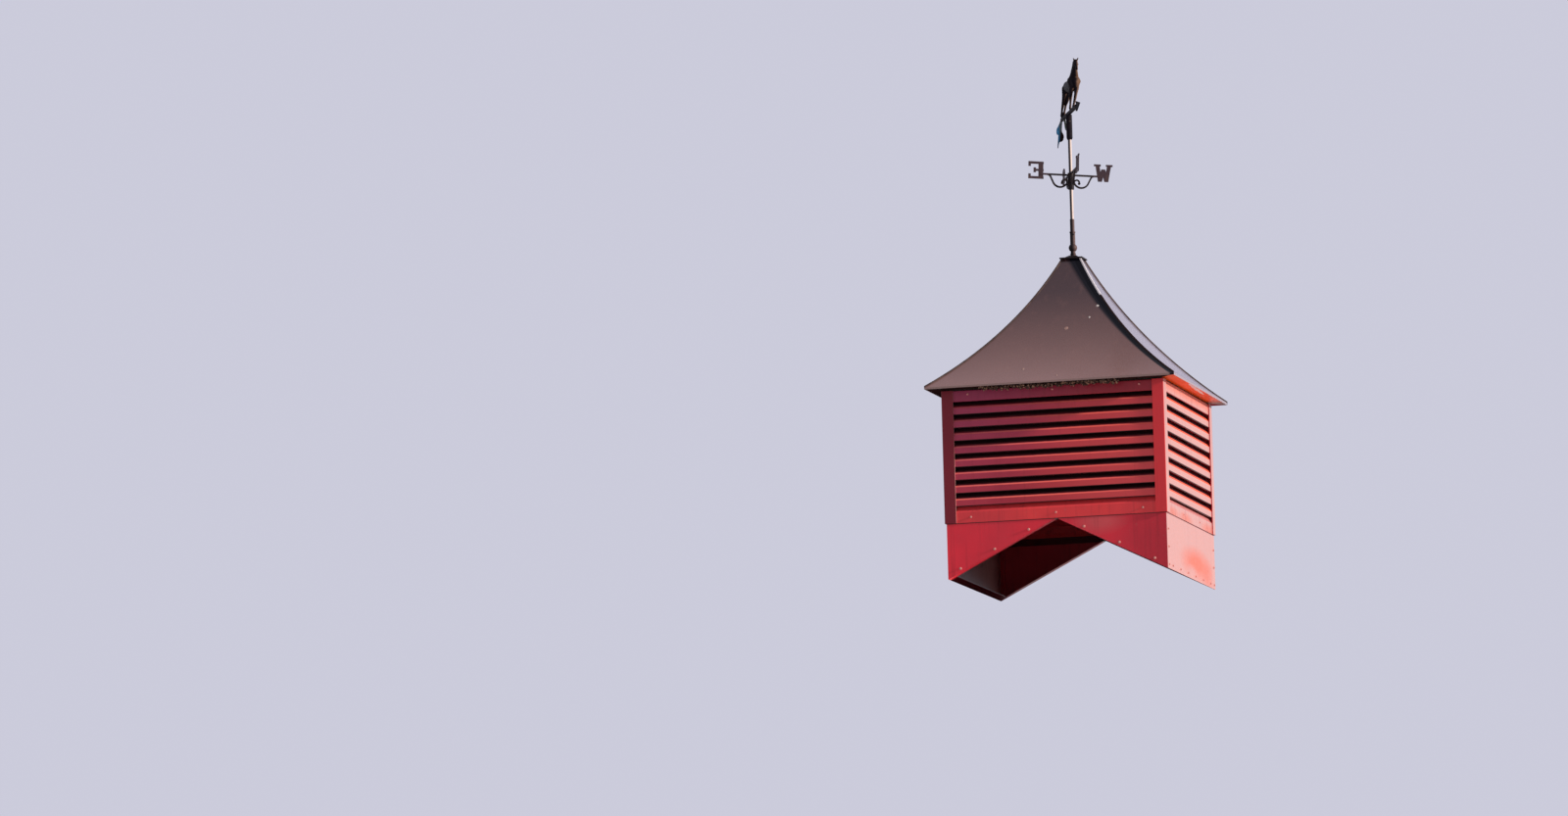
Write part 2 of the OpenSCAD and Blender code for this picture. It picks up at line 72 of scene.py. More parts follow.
level_right = Vector((math.cos(TURN), math.sin(TURN), 0))
level_ahead = Vector((-math.sin(TURN), math.cos(TURN), 0))
ahead = level_ahead * math.cos(RISE) + Vector((0, 0, math.sin(RISE)))
upward = Vector((0, 0, math.cos(RISE))) - level_ahead * math.sin(RISE)
right = level_right * math.cos(LEAN) + upward * math.sin(LEAN)
upward = upward * math.cos(LEAN) - level_right * math.sin(LEAN)
camera = bpy.data.objects.new("camera", bpy.data.cameras.new("camera"))
camera.data.sensor_width = SENSOR
camera.data.lens = FOCAL_LENGTH_PX / IMAGE_WIDTH * SENSOR
camera.data.clip_end = VIEW_REACH
camera.matrix_world = Matrix((right, upward, -ahead)).transposed().to_4x4()
camera.location = EYE
bpy.context.scene.collection.objects.link(camera)
bpy.context.scene.camera = camera
bpy.context.scene.view_settings.view_transform = "Standard"

# Studio: one low soft key light from the right, even light all round, and a pale floor under the walls.
# The floor can't be seen from underneath, because the camera looks up past it.
KEY_FROM = Vector((0.9515, -0.0647, 0.3007))
KEY_STRENGTH = 5.3
KEY_SOFTNESS = math.radians(2.5)
KEY_COLOUR = (1.0, 0.93, 0.85)
AIR_COLOUR = (0.88, 0.91, 1.0)
AIR_STRENGTH = 0.37
BACKDROP = (0.60, 0.60, 0.71)
FLOOR_PAINT = (0.72, 0.71, 0.73)
FLOOR_ROUGHNESS, FLOOR_SHINE = 0.9, 0.1
FLOOR_SIZE = 60
FLOOR_GAP = 0.0005

key = bpy.data.objects.new("key_light", bpy.data.lights.new("key_light", "SUN"))
key.data.energy = KEY_STRENGTH
key.data.angle = KEY_SOFTNESS
key.data.color = KEY_COLOUR
key.rotation_mode = "QUATERNION"
key.rotation_quaternion = KEY_FROM.to_track_quat("Z", "Y")
bpy.context.scene.collection.objects.link(key)

world = bpy.data.worlds.new("studio")
bpy.context.scene.world = world
world.use_nodes = True
air = world.node_tree
air.nodes.clear()
path = air.nodes.new("ShaderNodeLightPath")
seen = air.nodes.new("ShaderNodeMath")
seen.operation = "MAXIMUM"
air.links.new(path.outputs["Is Camera Ray"], seen.inputs[0])
air.links.new(path.outputs["Is Glossy Ray"], seen.inputs[1])
even = air.nodes.new("ShaderNodeBackground")
even.inputs["Color"].default_value = (*AIR_COLOUR, 1)
even.inputs["Strength"].default_value = AIR_STRENGTH
pale = air.nodes.new("ShaderNodeBackground")
pale.inputs["Color"].default_value = (*BACKDROP, 1)
either = air.nodes.new("ShaderNodeMixShader")
air.links.new(seen.outputs[0], either.inputs[0])
air.links.new(even.outputs[0], either.inputs[1])
air.links.new(pale.outputs[0], either.inputs[2])
air.links.new(either.outputs[0], air.nodes.new("ShaderNodeOutputWorld").inputs["Surface"])

floor_mesh = bpy.data.meshes.new("floor")
edge = FLOOR_SIZE / 2
corners = [(-edge, -edge, 0), (edge, -edge, 0), (edge, edge, 0), (-edge, edge, 0)]
floor_mesh.from_pydata(corners, [], [(0, 1, 2, 3)])
floor = bpy.data.objects.new("floor", floor_mesh)
floor.location.z = cad_low.z - FLOOR_GAP
bpy.context.scene.collection.objects.link(floor)
floor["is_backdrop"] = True
floor_paint = bpy.data.materials.new("floor_paint")
floor_paint.use_nodes = True
ground = floor_paint.node_tree
coat = ground.nodes["Principled BSDF"]
coat.inputs["Base Color"].default_value = (*FLOOR_PAINT, 1)
coat.inputs["Roughness"].default_value = FLOOR_ROUGHNESS
coat.inputs["Specular IOR Level"].default_value = FLOOR_SHINE
beneath = ground.nodes.new("ShaderNodeMath")
beneath.operation = "MULTIPLY"
ground.links.new(ground.nodes.new("ShaderNodeLightPath").outputs["Is Camera Ray"], beneath.inputs[0])
ground.links.new(ground.nodes.new("ShaderNodeNewGeometry").outputs["Backfacing"], beneath.inputs[1])
gone = ground.nodes.new("ShaderNodeMixShader")
ground.links.new(beneath.outputs[0], gone.inputs[0])
ground.links.new(coat.outputs[0], gone.inputs[1])
ground.links.new(ground.nodes.new("ShaderNodeBsdfTransparent").outputs[0], gone.inputs[2])
ground.links.new(gone.outputs[0], ground.nodes["Material Output"].inputs["Surface"])
floor_mesh.materials.append(floor_paint)

# Base: formed steel sheets, notched to sit astride a ridge, painted red like all the walls.
# The front is painted the brightest red, and the thin sheet buckles between its screws. Paint that faces
# the right, towards the key light, is painted paler as painted sunlight.
RED = (0.530, 0.038, 0.058)
RED_DEEP = (0.360, 0.018, 0.034)
RED_BRIGHT = (0.880, 0.030, 0.056)
# The pale red is used for real fade, and also for painted sunlight and painted highlights.
RED_FADED_AND_LIT = (0.460, 0.235, 0.218)
RED_SALMON = (0.520, 0.110, 0.060)
RED_STREAK = (0.150, 0.014, 0.022)
DUST = (0.320, 0.200, 0.170)
JOINT_DIRT = (0.075, 0.012, 0.012)
JOINT_LINE = (0.0050, 0.0035)
SHIFT_ALONG = (1.0, 0.7, 0.4)
GRAIN_ROUGHNESS = 0.55
SPOT_CORE = 0.3
FADE_SIZE, FADE_EDGE, FADE_SHARE = 0.42, (0.36, 0.66), 0.5
# Painted sunlight: how far a surface must face the key light before its paint is made paler.
KEY_LIT_SIDE = (0.45, 0.95)
RUN_STRETCH, RUN_EDGE = (38, 38, 1.3), (0.54, 0.76)
FLECK_SIZE, FLECK_EDGE, FLECK_SHARE = 0.018, (0.62, 0.78), 0.18
LYING, LYING_SHARE = (0.80, 0.98), 0.5
DUST_SIZE, DUST_EDGE = 0.05, (0.3, 0.6)
MOTTLE_SIZE, MOTTLED = 0.018, (0.3, 0.7)
SKIN_SIZE, SKIN_DEPTH = 0.003, 0.00004
SATIN = (0.30, 0.44)


class Finish:
    """A material in the making: each call adds one step and gives back its output."""

    def __init__(self, name, shift=0.0):
        self.material = bpy.data.materials.new(name)
        self.material.use_nodes = True
        self.tree = self.material.node_tree
        self.shader = self.tree.nodes["Principled BSDF"]
        self.world = self.tree.nodes.new("ShaderNodeTexCoord").outputs["Object"]
        self.place = self.vectors("ADD", self.world, tuple(shift * way for way in SHIFT_ALONG))

    def put(self, socket, value):
        if isinstance(value, bpy.types.NodeSocket):
            self.tree.links.new(value, socket)
        elif isinstance(value, tuple) and socket.type == "RGBA":
            socket.default_value = (*value, 1)
        else:
            socket.default_value = value

    def step(self, kind, inputs, output=0, **settings):
        made = self.tree.nodes.new(kind)
        for name, value in settings.items():
            setattr(made, name, value)
        for name, value in inputs.items():
            self.put(made.inputs[name], value)
        return made.outputs[output]

    def maths(self, operation, a, b=0.0):
        return self.step("ShaderNodeMath", {0: a, 1: b}, operation=operation)

    def times(self, a, b):
        return self.maths("MULTIPLY", a, b)

    def vectors(self, operation, a, b=(0, 0, 0)):
        """Works on places. A dot product or a length is a number, which is the node's second output."""
        number = operation in ("DOT_PRODUCT", "LENGTH")
        return self.step("ShaderNodeVectorMath", {0: a, 1: b}, output=int(number), operation=operation)

    def grain(self, size, detail=3.0, stretch=(1, 1, 1)):
        """Soft random patches of about this size in metres, from 0 to 1."""
        place = self.vectors("MULTIPLY", self.place, stretch)
        return self.step("ShaderNodeTexNoise", {"Vector": place, "Scale": 1 / size, "Detail": detail,
                                                "Roughness": GRAIN_ROUGHNESS})

    def span(self, value, low, high, out_low=0.0, out_high=1.0):
        return self.step("ShaderNodeMapRange", {"Value": value, "From Min": low, "From Max": high,
                                                "To Min": out_low, "To Max": out_high})

    def blend(self, share, a, b):
        made = self.tree.nodes.new("ShaderNodeMix")
        made.data_type = "RGBA"
        self.put(made.inputs[0], share)
        self.put(made.inputs[6], a)
        self.put(made.inputs[7], b)
        return made.outputs[2]

    def facing(self, axis):
        """How far the surface faces along an axis: 0 for x, 1 for y and 2 for z."""
        normal = self.tree.nodes.new("ShaderNodeNewGeometry").outputs["Normal"]
        return self.step("ShaderNodeSeparateXYZ", {0: normal}, output=axis)

    def along(self, axis):
        """The place along an axis, in metres."""
        return self.step("ShaderNodeSeparateXYZ", {0: self.world}, output=axis)

    def near(self, centre, radius, stretch=(1, 1, 1)):
        """1 at a point, fading to 0 at a distance from it."""
        away = self.vectors("SUBTRACT", self.world, centre)
        away = self.vectors("LENGTH", self.vectors("MULTIPLY", away, stretch))
        return self.span(away, radius, radius * SPOT_CORE)

    def relief(self, height, depth, under=None):
        """Bumps of the given depth in metres, on top of those under them."""
        inputs = {"Height": height, "Distance": depth, "Strength": 1.0}
        if under is not None:
            inputs["Normal"] = under
        return self.step("ShaderNodeBump", inputs)

    def set(self, **sockets):
        for name, value in sockets.items():
            self.put(self.shader.inputs[name.replace("_", " ")], value)


def faded_and_lit(finish, body, patch, share):
    """A coil paint with soft patches of fade, and painted paler where it faces the key light, as painted
    sunlight.
    """
    patches = finish.times(finish.span(finish.grain(FADE_SIZE), *FADE_EDGE), share)
    colour = finish.blend(patches, body, patch)
    return finish.blend(finish.span(finish.facing(0), *KEY_LIT_SIDE), colour, RED_FADED_AND_LIT)


def spotted(finish, colour, spots):
    """Soft marks, each given by its centre, radius, stretch, paint and share."""
    for centre, radius, stretch, paint, share in spots:
        colour = finish.blend(finish.times(finish.near(centre, radius, stretch), share), colour, paint)
    return colour


def weather(finish, colour, streaks):
    """Streaks that run down, fine flecks, and dust on what faces up."""
    runs = finish.span(finish.grain(1.0, detail=5, stretch=RUN_STRETCH), *RUN_EDGE, 0.0, streaks)
    colour = finish.blend(runs, colour, RED_STREAK)
    flecks = finish.span(finish.grain(FLECK_SIZE, detail=5), *FLECK_EDGE, 0.0, FLECK_SHARE)
    colour = finish.blend(flecks, colour, DUST)
    patchy = finish.span(finish.grain(DUST_SIZE), *DUST_EDGE)
    lying = finish.times(finish.span(finish.facing(2), *LYING), patchy)
    return finish.blend(finish.times(lying, LYING_SHARE), colour, DUST)


def satin(finish, colour, wave, wave_size, shine=0.3, dull=0.0):
    """Satin paint over thin sheet that waves a little, with a fine skin."""
    mottle = finish.grain(MOTTLE_SIZE, detail=5)
    waves = finish.relief(finish.grain(wave_size, detail=1.0), wave)
    skin = finish.relief(finish.grain(SKIN_SIZE, detail=2.0), SKIN_DEPTH, waves)
    gloss = finish.span(mottle, *MOTTLED, SATIN[0] + dull, SATIN[1] + dull)
    finish.set(Base_Color=colour, Roughness=gloss, Specular_IOR_Level=shine, Normal=skin)
    return finish.material


def red_paint(name, shift, body=RED, patch=RED_DEEP, wave=0.0012, wave_size=0.16, streaks=0.35, spots=(),
              shine=0.3, dull=0.0, joint=None):
    """Weathered red paint with painted sunlight. A joint is a height, just under which dirt has gathered in a
    dark line.
    """
    finish = Finish(name, shift)
    colour = spotted(finish, faded_and_lit(finish, body, patch, FADE_SHARE), spots)
    if streaks:
        colour = weather(finish, colour, streaks)
    if joint:
        dirty = finish.span(finish.along(2), joint - JOINT_LINE[0], joint - JOINT_LINE[1])
        colour = finish.blend(dirty, colour, JOINT_DIRT)
    return satin(finish, colour, wave, wave_size, shine, dull)


def dress(nodes, material):
    """Gives some of the part's own solids a material."""
    for name in nodes:
        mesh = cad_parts[name].data
        mesh.materials.clear()
        mesh.materials.append(material)


SIDES = ("front", "right", "back", "left")
base_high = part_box("base_right")[1]
wall_low, wall_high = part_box("base_front")
sill_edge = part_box("sill_front")[0].z
# Painted light on the base: shade and a highlight on the front, and a salmon arch of reflection on the right.
FRONT_SHADE = ((wall_high.x, wall_low.y, 0.20), 0.34, (1, 1, 0.5), RED_DEEP, 0.55)
FRONT_HIGHLIGHT = ((0.24, wall_low.y, 0.27), 0.16, (1, 1, 2), RED_FADED_AND_LIT, 0.25)
ARCH_REFLECTION_TOP = ((base_high.x, 0.12, 0.092), 0.115, (1, 0.26, 1.15), RED_SALMON, 0.9)
ARCH_REFLECTION_LEG = ((base_high.x, 0.40, 0.055), 0.080, (1, 0.50, 0.8), RED_SALMON, 0.6)
ARCH_REFLECTION_HOLLOW = ((base_high.x, 0.01, 0.026), 0.070, (1, 0.40, 1.2), RED_FADED_AND_LIT, 0.85)
BASE_LOOKS = {
    "front": dict(body=RED_BRIGHT, patch=RED, wave=0.007, wave_size=0.26, spots=[FRONT_SHADE, FRONT_HIGHLIGHT]),
    "right": dict(wave=0.010, wave_size=0.34, streaks=0.08, spots=[ARCH_REFLECTION_TOP, ARCH_REFLECTION_LEG, ARCH_REFLECTION_HOLLOW]),
    "back": dict(wave=0.006, wave_size=0.26),
    "left": dict(wave=0.006, wave_size=0.26)}
for number, side in enumerate(SIDES):
    dress([f"base_{side}"], red_paint(f"base_paint_{side}", 3.1 * (number + 1), joint=sill_edge,
                                      **BASE_LOOKS[side]))

# Base screws: painted hex-head screws with washers, driven through the walls into the flanges.
# They run along the sloping edges of the front and back, and round the edges of the side walls.
WASHER_R, WASHER_T = 0.0075, 0.0018
WASHER_RIM, WASHER_TOP = 0.6, 0.85
WASHER_SIDES = 20
HEAD_R, HEAD_T, HEAD_CROWN = 0.0050, 0.0040, 0.0012
HEAD_TOP = 0.75
HEAD_SIDES = 6
SCREW_SINK = 0.0004
SCREW_TURN = 1.3
SCREW_PINK = (0.720, 0.260, 0.230)
SHEET = 0.003
SLOPE_PITCH, SLOPE_INSET, SLOPE_START = 0.19, 0.022, 0.35
SIDE_COUNT = 6
CORNER_INSET, CORNER_PITCH, CORNER_COUNT = 0.030, 0.095, 4


def ring(mesh, sides, radius, height):
    """A ring of points at a height."""
    turn = 2 * math.pi / sides
    return [mesh.verts.new((radius * math.cos(k * turn), radius * math.sin(k * turn), height))
            for k in range(sides)]


def stack(mesh, rings):
    """Skins a row of rings, and closes both ends."""
    for lower, upper in zip(rings, rings[1:]):
        for k in range(len(lower)):
            j = (k + 1) % len(lower)
            mesh.faces.new((lower[k], lower[j], upper[j], upper[k]))
    mesh.faces.new(rings[0][::-1])
    mesh.faces.new(rings[-1])


def piece(name, mesh, material, body):
    """Turns a mesh into a piece that rides on a body and takes a slot's finish."""
    bmesh.ops.recalc_face_normals(mesh, faces=mesh.faces)
    data = bpy.data.meshes.new(name)
    mesh.to_mesh(data)
    mesh.free()
    data.materials.append(material)
    made = bpy.data.objects.new(name, data)
    bpy.context.scene.collection.objects.link(made)
    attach(made, body)
    return made


def screws(name, places, outward, material, body="cupola", size=1.0):
    """Hex-head screws with washers at some places, all driven in against the same direction."""
    mesh = bmesh.new()
    turn = Vector(outward).normalized().to_track_quat("Z", "Y").to_matrix().to_4x4()
    for number, place in enumerate(places):
        start = len(mesh.verts)
        stack(mesh, [ring(mesh, WASHER_SIDES, WASHER_R, -SCREW_SINK),
                     ring(mesh, WASHER_SIDES, WASHER_R, WASHER_T * WASHER_RIM),
                     ring(mesh, WASHER_SIDES, WASHER_R * WASHER_TOP, WASHER_T)])
        stack(mesh, [ring(mesh, HEAD_SIDES, HEAD_R, -SCREW_SINK),
                     ring(mesh, HEAD_SIDES, HEAD_R, WASHER_T + HEAD_T),
                     ring(mesh, HEAD_SIDES, HEAD_R * HEAD_TOP, WASHER_T + HEAD_T + HEAD_CROWN)])
        mesh.verts.ensure_lookup_table()
        spin = Matrix.Rotation(number * SCREW_TURN, 4, "Z") @ Matrix.Scale(size, 4)
        bmesh.ops.transform(mesh, matrix=Matrix.Translation(place) @ turn @ spin, verts=mesh.verts[start:])
    return piece(name, mesh, material, body)


screw_paint = red_paint("screw_paint", 15.5, SCREW_PINK, RED_FADED_AND_LIT, wave=0.0, streaks=0.0)
slope_run = wall_high.x - SHEET
for side, y in (("front", wall_low.y), ("back", -wall_low.y)):
    places = []
    for way in (-1, 1):
        for k in range(int(slope_run / SLOPE_PITCH)):
            x = way * (slope_run - SLOPE_PITCH * (k + SLOPE_START))
            z = (slope_run - abs(x)) / slope_run * sill_edge
            places.append((x, y, z + SLOPE_INSET))
    screws(f"base_screws_{side}", places, (0, y, 0), screw_paint)
for side, x in (("right", base_high.x), ("left", -base_high.x)):
    places = [(x, (k - (SIDE_COUNT - 1) / 2) * SLOPE_PITCH, SLOPE_INSET) for k in range(SIDE_COUNT)]
    for end in (-1, 1):
        places += [(x, end * (slope_run - CORNER_INSET), SLOPE_INSET + CORNER_PITCH * k)
                   for k in range(CORNER_COUNT)]
    screws(f"base_screws_{side}", places, (x, 0, 0), screw_paint)

# Corner posts: angles of doubled red sheet with one bend, from the base up to the closure strip.
# They cover the louvres' ends, which hook behind them. The near post is painted the brightest red, and the
# one at the front left the darkest.
POST_RED = (0.720, 0.036, 0.046)
POST_DARK = (0.200, 0.008, 0.020)
POSTS = {"post_front_right": POST_RED, "post_back_right": RED, "post_back_left": RED,
         "post_front_left": POST_DARK}
for number, (name, body) in enumerate(POSTS.items()):
    dress([name], red_paint(f"{name}_paint", 1.7 + number, body, body, wave=0.0016))

# Sill and head rails: channels folded from red sheet, under and over the louvres, hooked behind the posts.
# A few painted screws hold them to the frame behind.
RAIL_SCREWS = {"front": (-0.465, 0.0, 0.475), "back": (-0.465, 0.0, 0.465),
               "right": (-0.18, 0.23), "left": (-0.23, 0.23)}
RAIL_SCREW_SIZE = 0.8
HEAD_SCREW_DROP, SILL_SCREW_RISE = 0.022, 0.030
AWAY = {"front": Vector((0, -1, 0)), "right": Vector((1, 0, 0)), "back": Vector((0, 1, 0)),
        "left": Vector((-1, 0, 0))}
SILL_RED = (0.860, 0.055, 0.060)
HEAD_RED = (0.330, 0.022, 0.038)
SHADE_MAUVE = (0.330, 0.045, 0.130)
HEAD_ORANGE = (0.620, 0.130, 0.070)
# Painted shade: a cooler mauve red where the front eave's shadow falls, on the head rails and the louvres.
EAVE_SHADE_SPOT = [((-0.62, wall_low.y, 1.06), 0.85, (1, 1, 1), SHADE_MAUVE, 0.55)]
SILL_WARM_AT = (-0.46, -0.12, 0.44)
SILL_WARM_RISE = 0.012
head_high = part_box("head_right")[1]
SILL_WARM = [((base_high.x, y, sill_edge + SILL_WARM_RISE), 0.090, (1, 0.45, 2.2), RED_SALMON, 0.65)
             for y in SILL_WARM_AT]
HEAD_WARM = [((head_high.x, 0, head_high.z), 0.055, (1, 0.02, 1), HEAD_ORANGE, 0.75)]
for number, side in enumerate(SIDES):
    dress([f"sill_{side}"], red_paint(f"sill_paint_{side}", 5.3 + number, SILL_RED, RED, wave=0.0040,
                                      spots=SILL_WARM if side == "right" else ()))
    dress([f"head_{side}"], red_paint(f"head_paint_{side}", 9.4 + number, HEAD_RED, RED_DEEP,
                                      spots=HEAD_WARM if side == "right" else EAVE_SHADE_SPOT))
    out = AWAY[side]
    sideways = Vector((-out.y, out.x, 0))
    for rail in ("sill", "head"):
        rail_low, rail_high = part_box(f"{rail}_{side}")
        face = max(abs(rail_low.dot(out)), abs(rail_high.dot(out)))
        height = rail_low.z + SILL_SCREW_RISE if rail == "sill" else rail_high.z - HEAD_SCREW_DROP
        places = [out * face + sideways * along + Vector((0, 0, height)) for along in RAIL_SCREWS[side]]
        screws(f"{rail}_screws_{side}", places, out, screw_paint, size=RAIL_SCREW_SIZE)

# Louvres: eight blades a side, each one strip of red sheet with a hem, an upright lip and a sloped part.
# The ends are caught behind the posts. The bend just above each lip has a painted highlight, and the slope
# under the next blade has painted shade, dark red and then black in the throat.
BLADES = 8
BLADE_TALL = 0.074
LIP_SHARE = 0.48
# Painted shade under each hem, and the shares of the pitch where painted shade starts on the slope.
FOOT_SHADE = (0.060, 0.042)
SLOPE_SHADE_FROM = {"front": 0.10, "right": 0.19, "back": 0.07, "left": 0.07}
SLOPE_SHADE_EDGE = 0.04
BLADE_PATCHES, BLADE_STREAKS = 0.45, 0.2
BLADE_WAVE, BLADE_WAVE_SIZE = 0.0010, 0.16
SHADE_WOBBLE_SIZE, SHADE_WOBBLE = 0.03, 0.02
BLACK_SHADE_FROM, BLACK_SHADE_FULL = 0.06, 0.17
ON_SLOPE = (0.15, 0.50)
# Painted highlight: the slope just above each lip is painted bright, orange on the right side.
SLOPE_HIGHLIGHT = (1.000, 0.165, 0.120)
SLOPE_HIGHLIGHT_RIGHT = (0.900, 0.120, 0.050)
# Painted shade: dark red on the slope under the next blade, then black in the throat and under each hem.
SLOPE_SHADE = (0.150, 0.010, 0.018)
THROAT_SHADE = (0.014, 0.004, 0.005)
# Painted sunlight: a paler red patch on the lower right of the front louvres, below the eave's shadow.
RED_SUNLIT = (0.800, 0.085, 0.088)
BLADE_SUNLIT_PATCH = ((0.50, wall_low.y, 0.50), 0.75, (1, 1, 1), RED_SUNLIT, 0.60)
louvre_low, louvre_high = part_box("louvres_front")
blade_pitch = (louvre_high.z - louvre_low.z - BLADE_TALL) / (BLADES - 1)
for number, side in enumerate(SIDES):
    finish = Finish(f"louvre_paint_{side}", 12.2 + number)
    up_blade = finish.maths("SUBTRACT", finish.along(2), louvre_low.z)
    up_blade = finish.maths("FRACT", finish.maths("DIVIDE", up_blade, blade_pitch))
    on_slope = finish.span(finish.facing(2), *ON_SLOPE)
    colour = faded_and_lit(finish, RED, RED_DEEP, BLADE_PATCHES)
    colour = finish.blend(on_slope, colour, SLOPE_HIGHLIGHT_RIGHT if side == "right" else SLOPE_HIGHLIGHT)
    colour = spotted(finish, colour, EAVE_SHADE_SPOT + [BLADE_SUNLIT_PATCH] if side == "front" else EAVE_SHADE_SPOT)
    # Painted shade: above its lit bend each slope turns dark red, then black, with a ragged edge.
    shade_start = LIP_SHARE + SLOPE_SHADE_FROM[side]
    ragged = finish.span(finish.grain(SHADE_WOBBLE_SIZE), 0.0, 1.0, -SHADE_WOBBLE, SHADE_WOBBLE)
    shade_phase = finish.maths("ADD", up_blade, ragged)
    shaded_slope = finish.times(finish.span(shade_phase, shade_start, shade_start + SLOPE_SHADE_EDGE), on_slope)
    colour = finish.blend(shaded_slope, colour, SLOPE_SHADE)
    colour = finish.blend(finish.span(up_blade, *FOOT_SHADE), colour, THROAT_SHADE)
    black = finish.times(finish.span(shade_phase, shade_start + BLACK_SHADE_FROM, shade_start + BLACK_SHADE_FULL), on_slope)
    colour = finish.blend(black, weather(finish, colour, BLADE_STREAKS), THROAT_SHADE)
    dress([f"louvres_{side}"], satin(finish, colour, BLADE_WAVE, BLADE_WAVE_SIZE))

# Closure strip: black foam, pressed into the slot between the head rails and the soffits.
# Dust has settled in its pores.
FOAM_DARK = (0.012, 0.009, 0.008)
FOAM_DUSTY = (0.060, 0.045, 0.030)
FOAM_PORES, PORE_EDGE = 0.012, (0.4, 0.65)
FOAM_ROUGHNESS = 0.95
foam = Finish("closure_foam")
dusty = foam.span(foam.grain(FOAM_PORES, detail=6), *PORE_EDGE)
foam.set(Base_Color=foam.blend(dusty, FOAM_DARK, FOAM_DUSTY), Roughness=FOAM_ROUGHNESS)
dress(["closure_strip"], foam.material)

# Soffits: four mitred red sheets that close the eaves from below, held between drip edge and closure strip.
# The front and left ones are painted near black as shade, the back one deep red with patches of painted
# shade, and the right one a warm orange, painted light bounced from the sunlit wall, with painted shade at
# its far end.
# Painted shade and bounce light: near black for the shaded soffits, orange for the light on the right one.
SOFFIT_SHADE = (0.035, 0.013, 0.012)
SOFFIT_BOUNCE = (0.920, 0.105, 0.010)
SOFFIT_BOUNCE_DEEP = (0.620, 0.070, 0.010)
SOFFIT_SHADE_BROWN = (0.150, 0.055, 0.038)
far_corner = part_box("soffit_right")[1]
FAR_END_SHADE = (tuple(far_corner), 0.24, (1, 1, 1), SOFFIT_SHADE_BROWN, 0.95)
DULL = dict(shine=0.0, dull=0.5)
SOFFIT_LOOKS = {
    "front": dict(body=SOFFIT_SHADE, patch=FOAM_DARK, **DULL),
    "right": dict(body=SOFFIT_BOUNCE, patch=SOFFIT_BOUNCE_DEEP, spots=[FAR_END_SHADE], shine=0.08),
    "back": dict(body=RED_DEEP, patch=SOFFIT_SHADE, **DULL),
    "left": dict(body=SOFFIT_SHADE, patch=FOAM_DARK, **DULL)}
for number, side in enumerate(SIDES):
    dress([f"soffit_{side}"], red_paint(f"soffit_paint_{side}", 20.5 + number, wave=0.0010, streaks=0.0,
                                        **SOFFIT_LOOKS[side]))

# Dirt under the front eave: small lumps of dried mud left by insects, stuck to the soffit in a ragged row.
# A few of them are pale.
MUD_ROW = (-0.385, 0.375)
MUD_COUNT = 150
MUD_DRAWS, MUD_SPREAD = 7, 0.9
MUD_SIZE = (0.005, 0.010)
MUD_HANG = (0.3, 2.2)
MUD_BACK = (0.008, 0.050)
MUD_SHAPE = (0.8, 0.8, 1.15)
MUD_BULGE, MUD_KNOBS, MUD_SEED = 0.45, 1.3, (3.7, 1.3, 0.2)
MUD_STUCK = 0.0008
MUD_TONES, MUD_EDGE = 0.012, (0.50, 0.60)
MUD_GRIT, MUD_GRIT_DEPTH = 0.004, 0.0012
MUD_ROUGHNESS = 0.95
MUD_BROWN = (0.045, 0.018, 0.012)
MUD_PALE = (0.360, 0.190, 0.120)
mud = Finish("mud_paint")
dry = mud.span(mud.grain(MUD_TONES, detail=6), *MUD_EDGE)
mud.set(Base_Color=mud.blend(dry, MUD_BROWN, MUD_PALE), Roughness=MUD_ROUGHNESS,
        Normal=mud.relief(mud.grain(MUD_GRIT, detail=4), MUD_GRIT_DEPTH))
soffit_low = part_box("soffit_front")[0]
chance = random.Random(MUD_DRAWS)
lumps = bmesh.new()
for k in range(MUD_COUNT):
    x = MUD_ROW[0] + (MUD_ROW[1] - MUD_ROW[0]) * (k + chance.uniform(0, MUD_SPREAD)) / MUD_COUNT
    radius = chance.uniform(*MUD_SIZE)
    hang = radius * chance.uniform(*MUD_HANG)
    place = Vector((x, soffit_low.y + chance.uniform(*MUD_BACK), soffit_low.z - hang))
    seed = Vector((k * MUD_SEED[0], *MUD_SEED[1:]))
    for vert in bmesh.ops.create_icosphere(lumps, subdivisions=2, radius=radius)["verts"]:
        bulge = 1 + MUD_BULGE * rough.noise(vert.co / radius * MUD_KNOBS + seed)
        vert.co = place + Vector([c * s for c, s in zip(vert.co, MUD_SHAPE)]) * bulge
        vert.co.z = min(vert.co.z, soffit_low.z + MUD_STUCK)
piece("eave_mud", lumps, mud.material, "cupola")

# Roof: four bronze-painted sheets rolled to a bell curve, with a drip edge turned down at the eave.
# The steep top is painted dark and the flat skirt pale, as painted light on the curve, with chalky dust on
# the skirt too. A painted shadow of the hip seam runs down beside the hip on each panel's right.
BRONZE_DARK = (0.056, 0.024, 0.026)
BRONZE_CHALK_AND_LIGHT = (0.330, 0.146, 0.118)
BRONZE_EDGE = (0.300, 0.180, 0.160)
# Painted light: steep parts of each sheet take the dark paint, and flat parts the pale one.
STEEP, FLAT = 0.55, 0.95
EDGE_ON = (0.15, 0.02)
DARKER_SIZE, DARKER_EDGE, DARKER_SHARE = 0.5, (0.35, 0.7), 0.18
CHALK_RUNS, CHALK_EDGE, CHALK_SHARE = (26, 26, 1.6), (0.55, 0.75), 0.10
DUSTED_SIZE, DUSTED_EDGE, DUSTED_SHARE = 0.02, (0.68, 0.84), 0.25
ROLLING_SIZE, ROLLING_DEPTH = 0.35, 0.0018
PAINT_SIZE, PAINT_DEPTH = 0.004, 0.00002
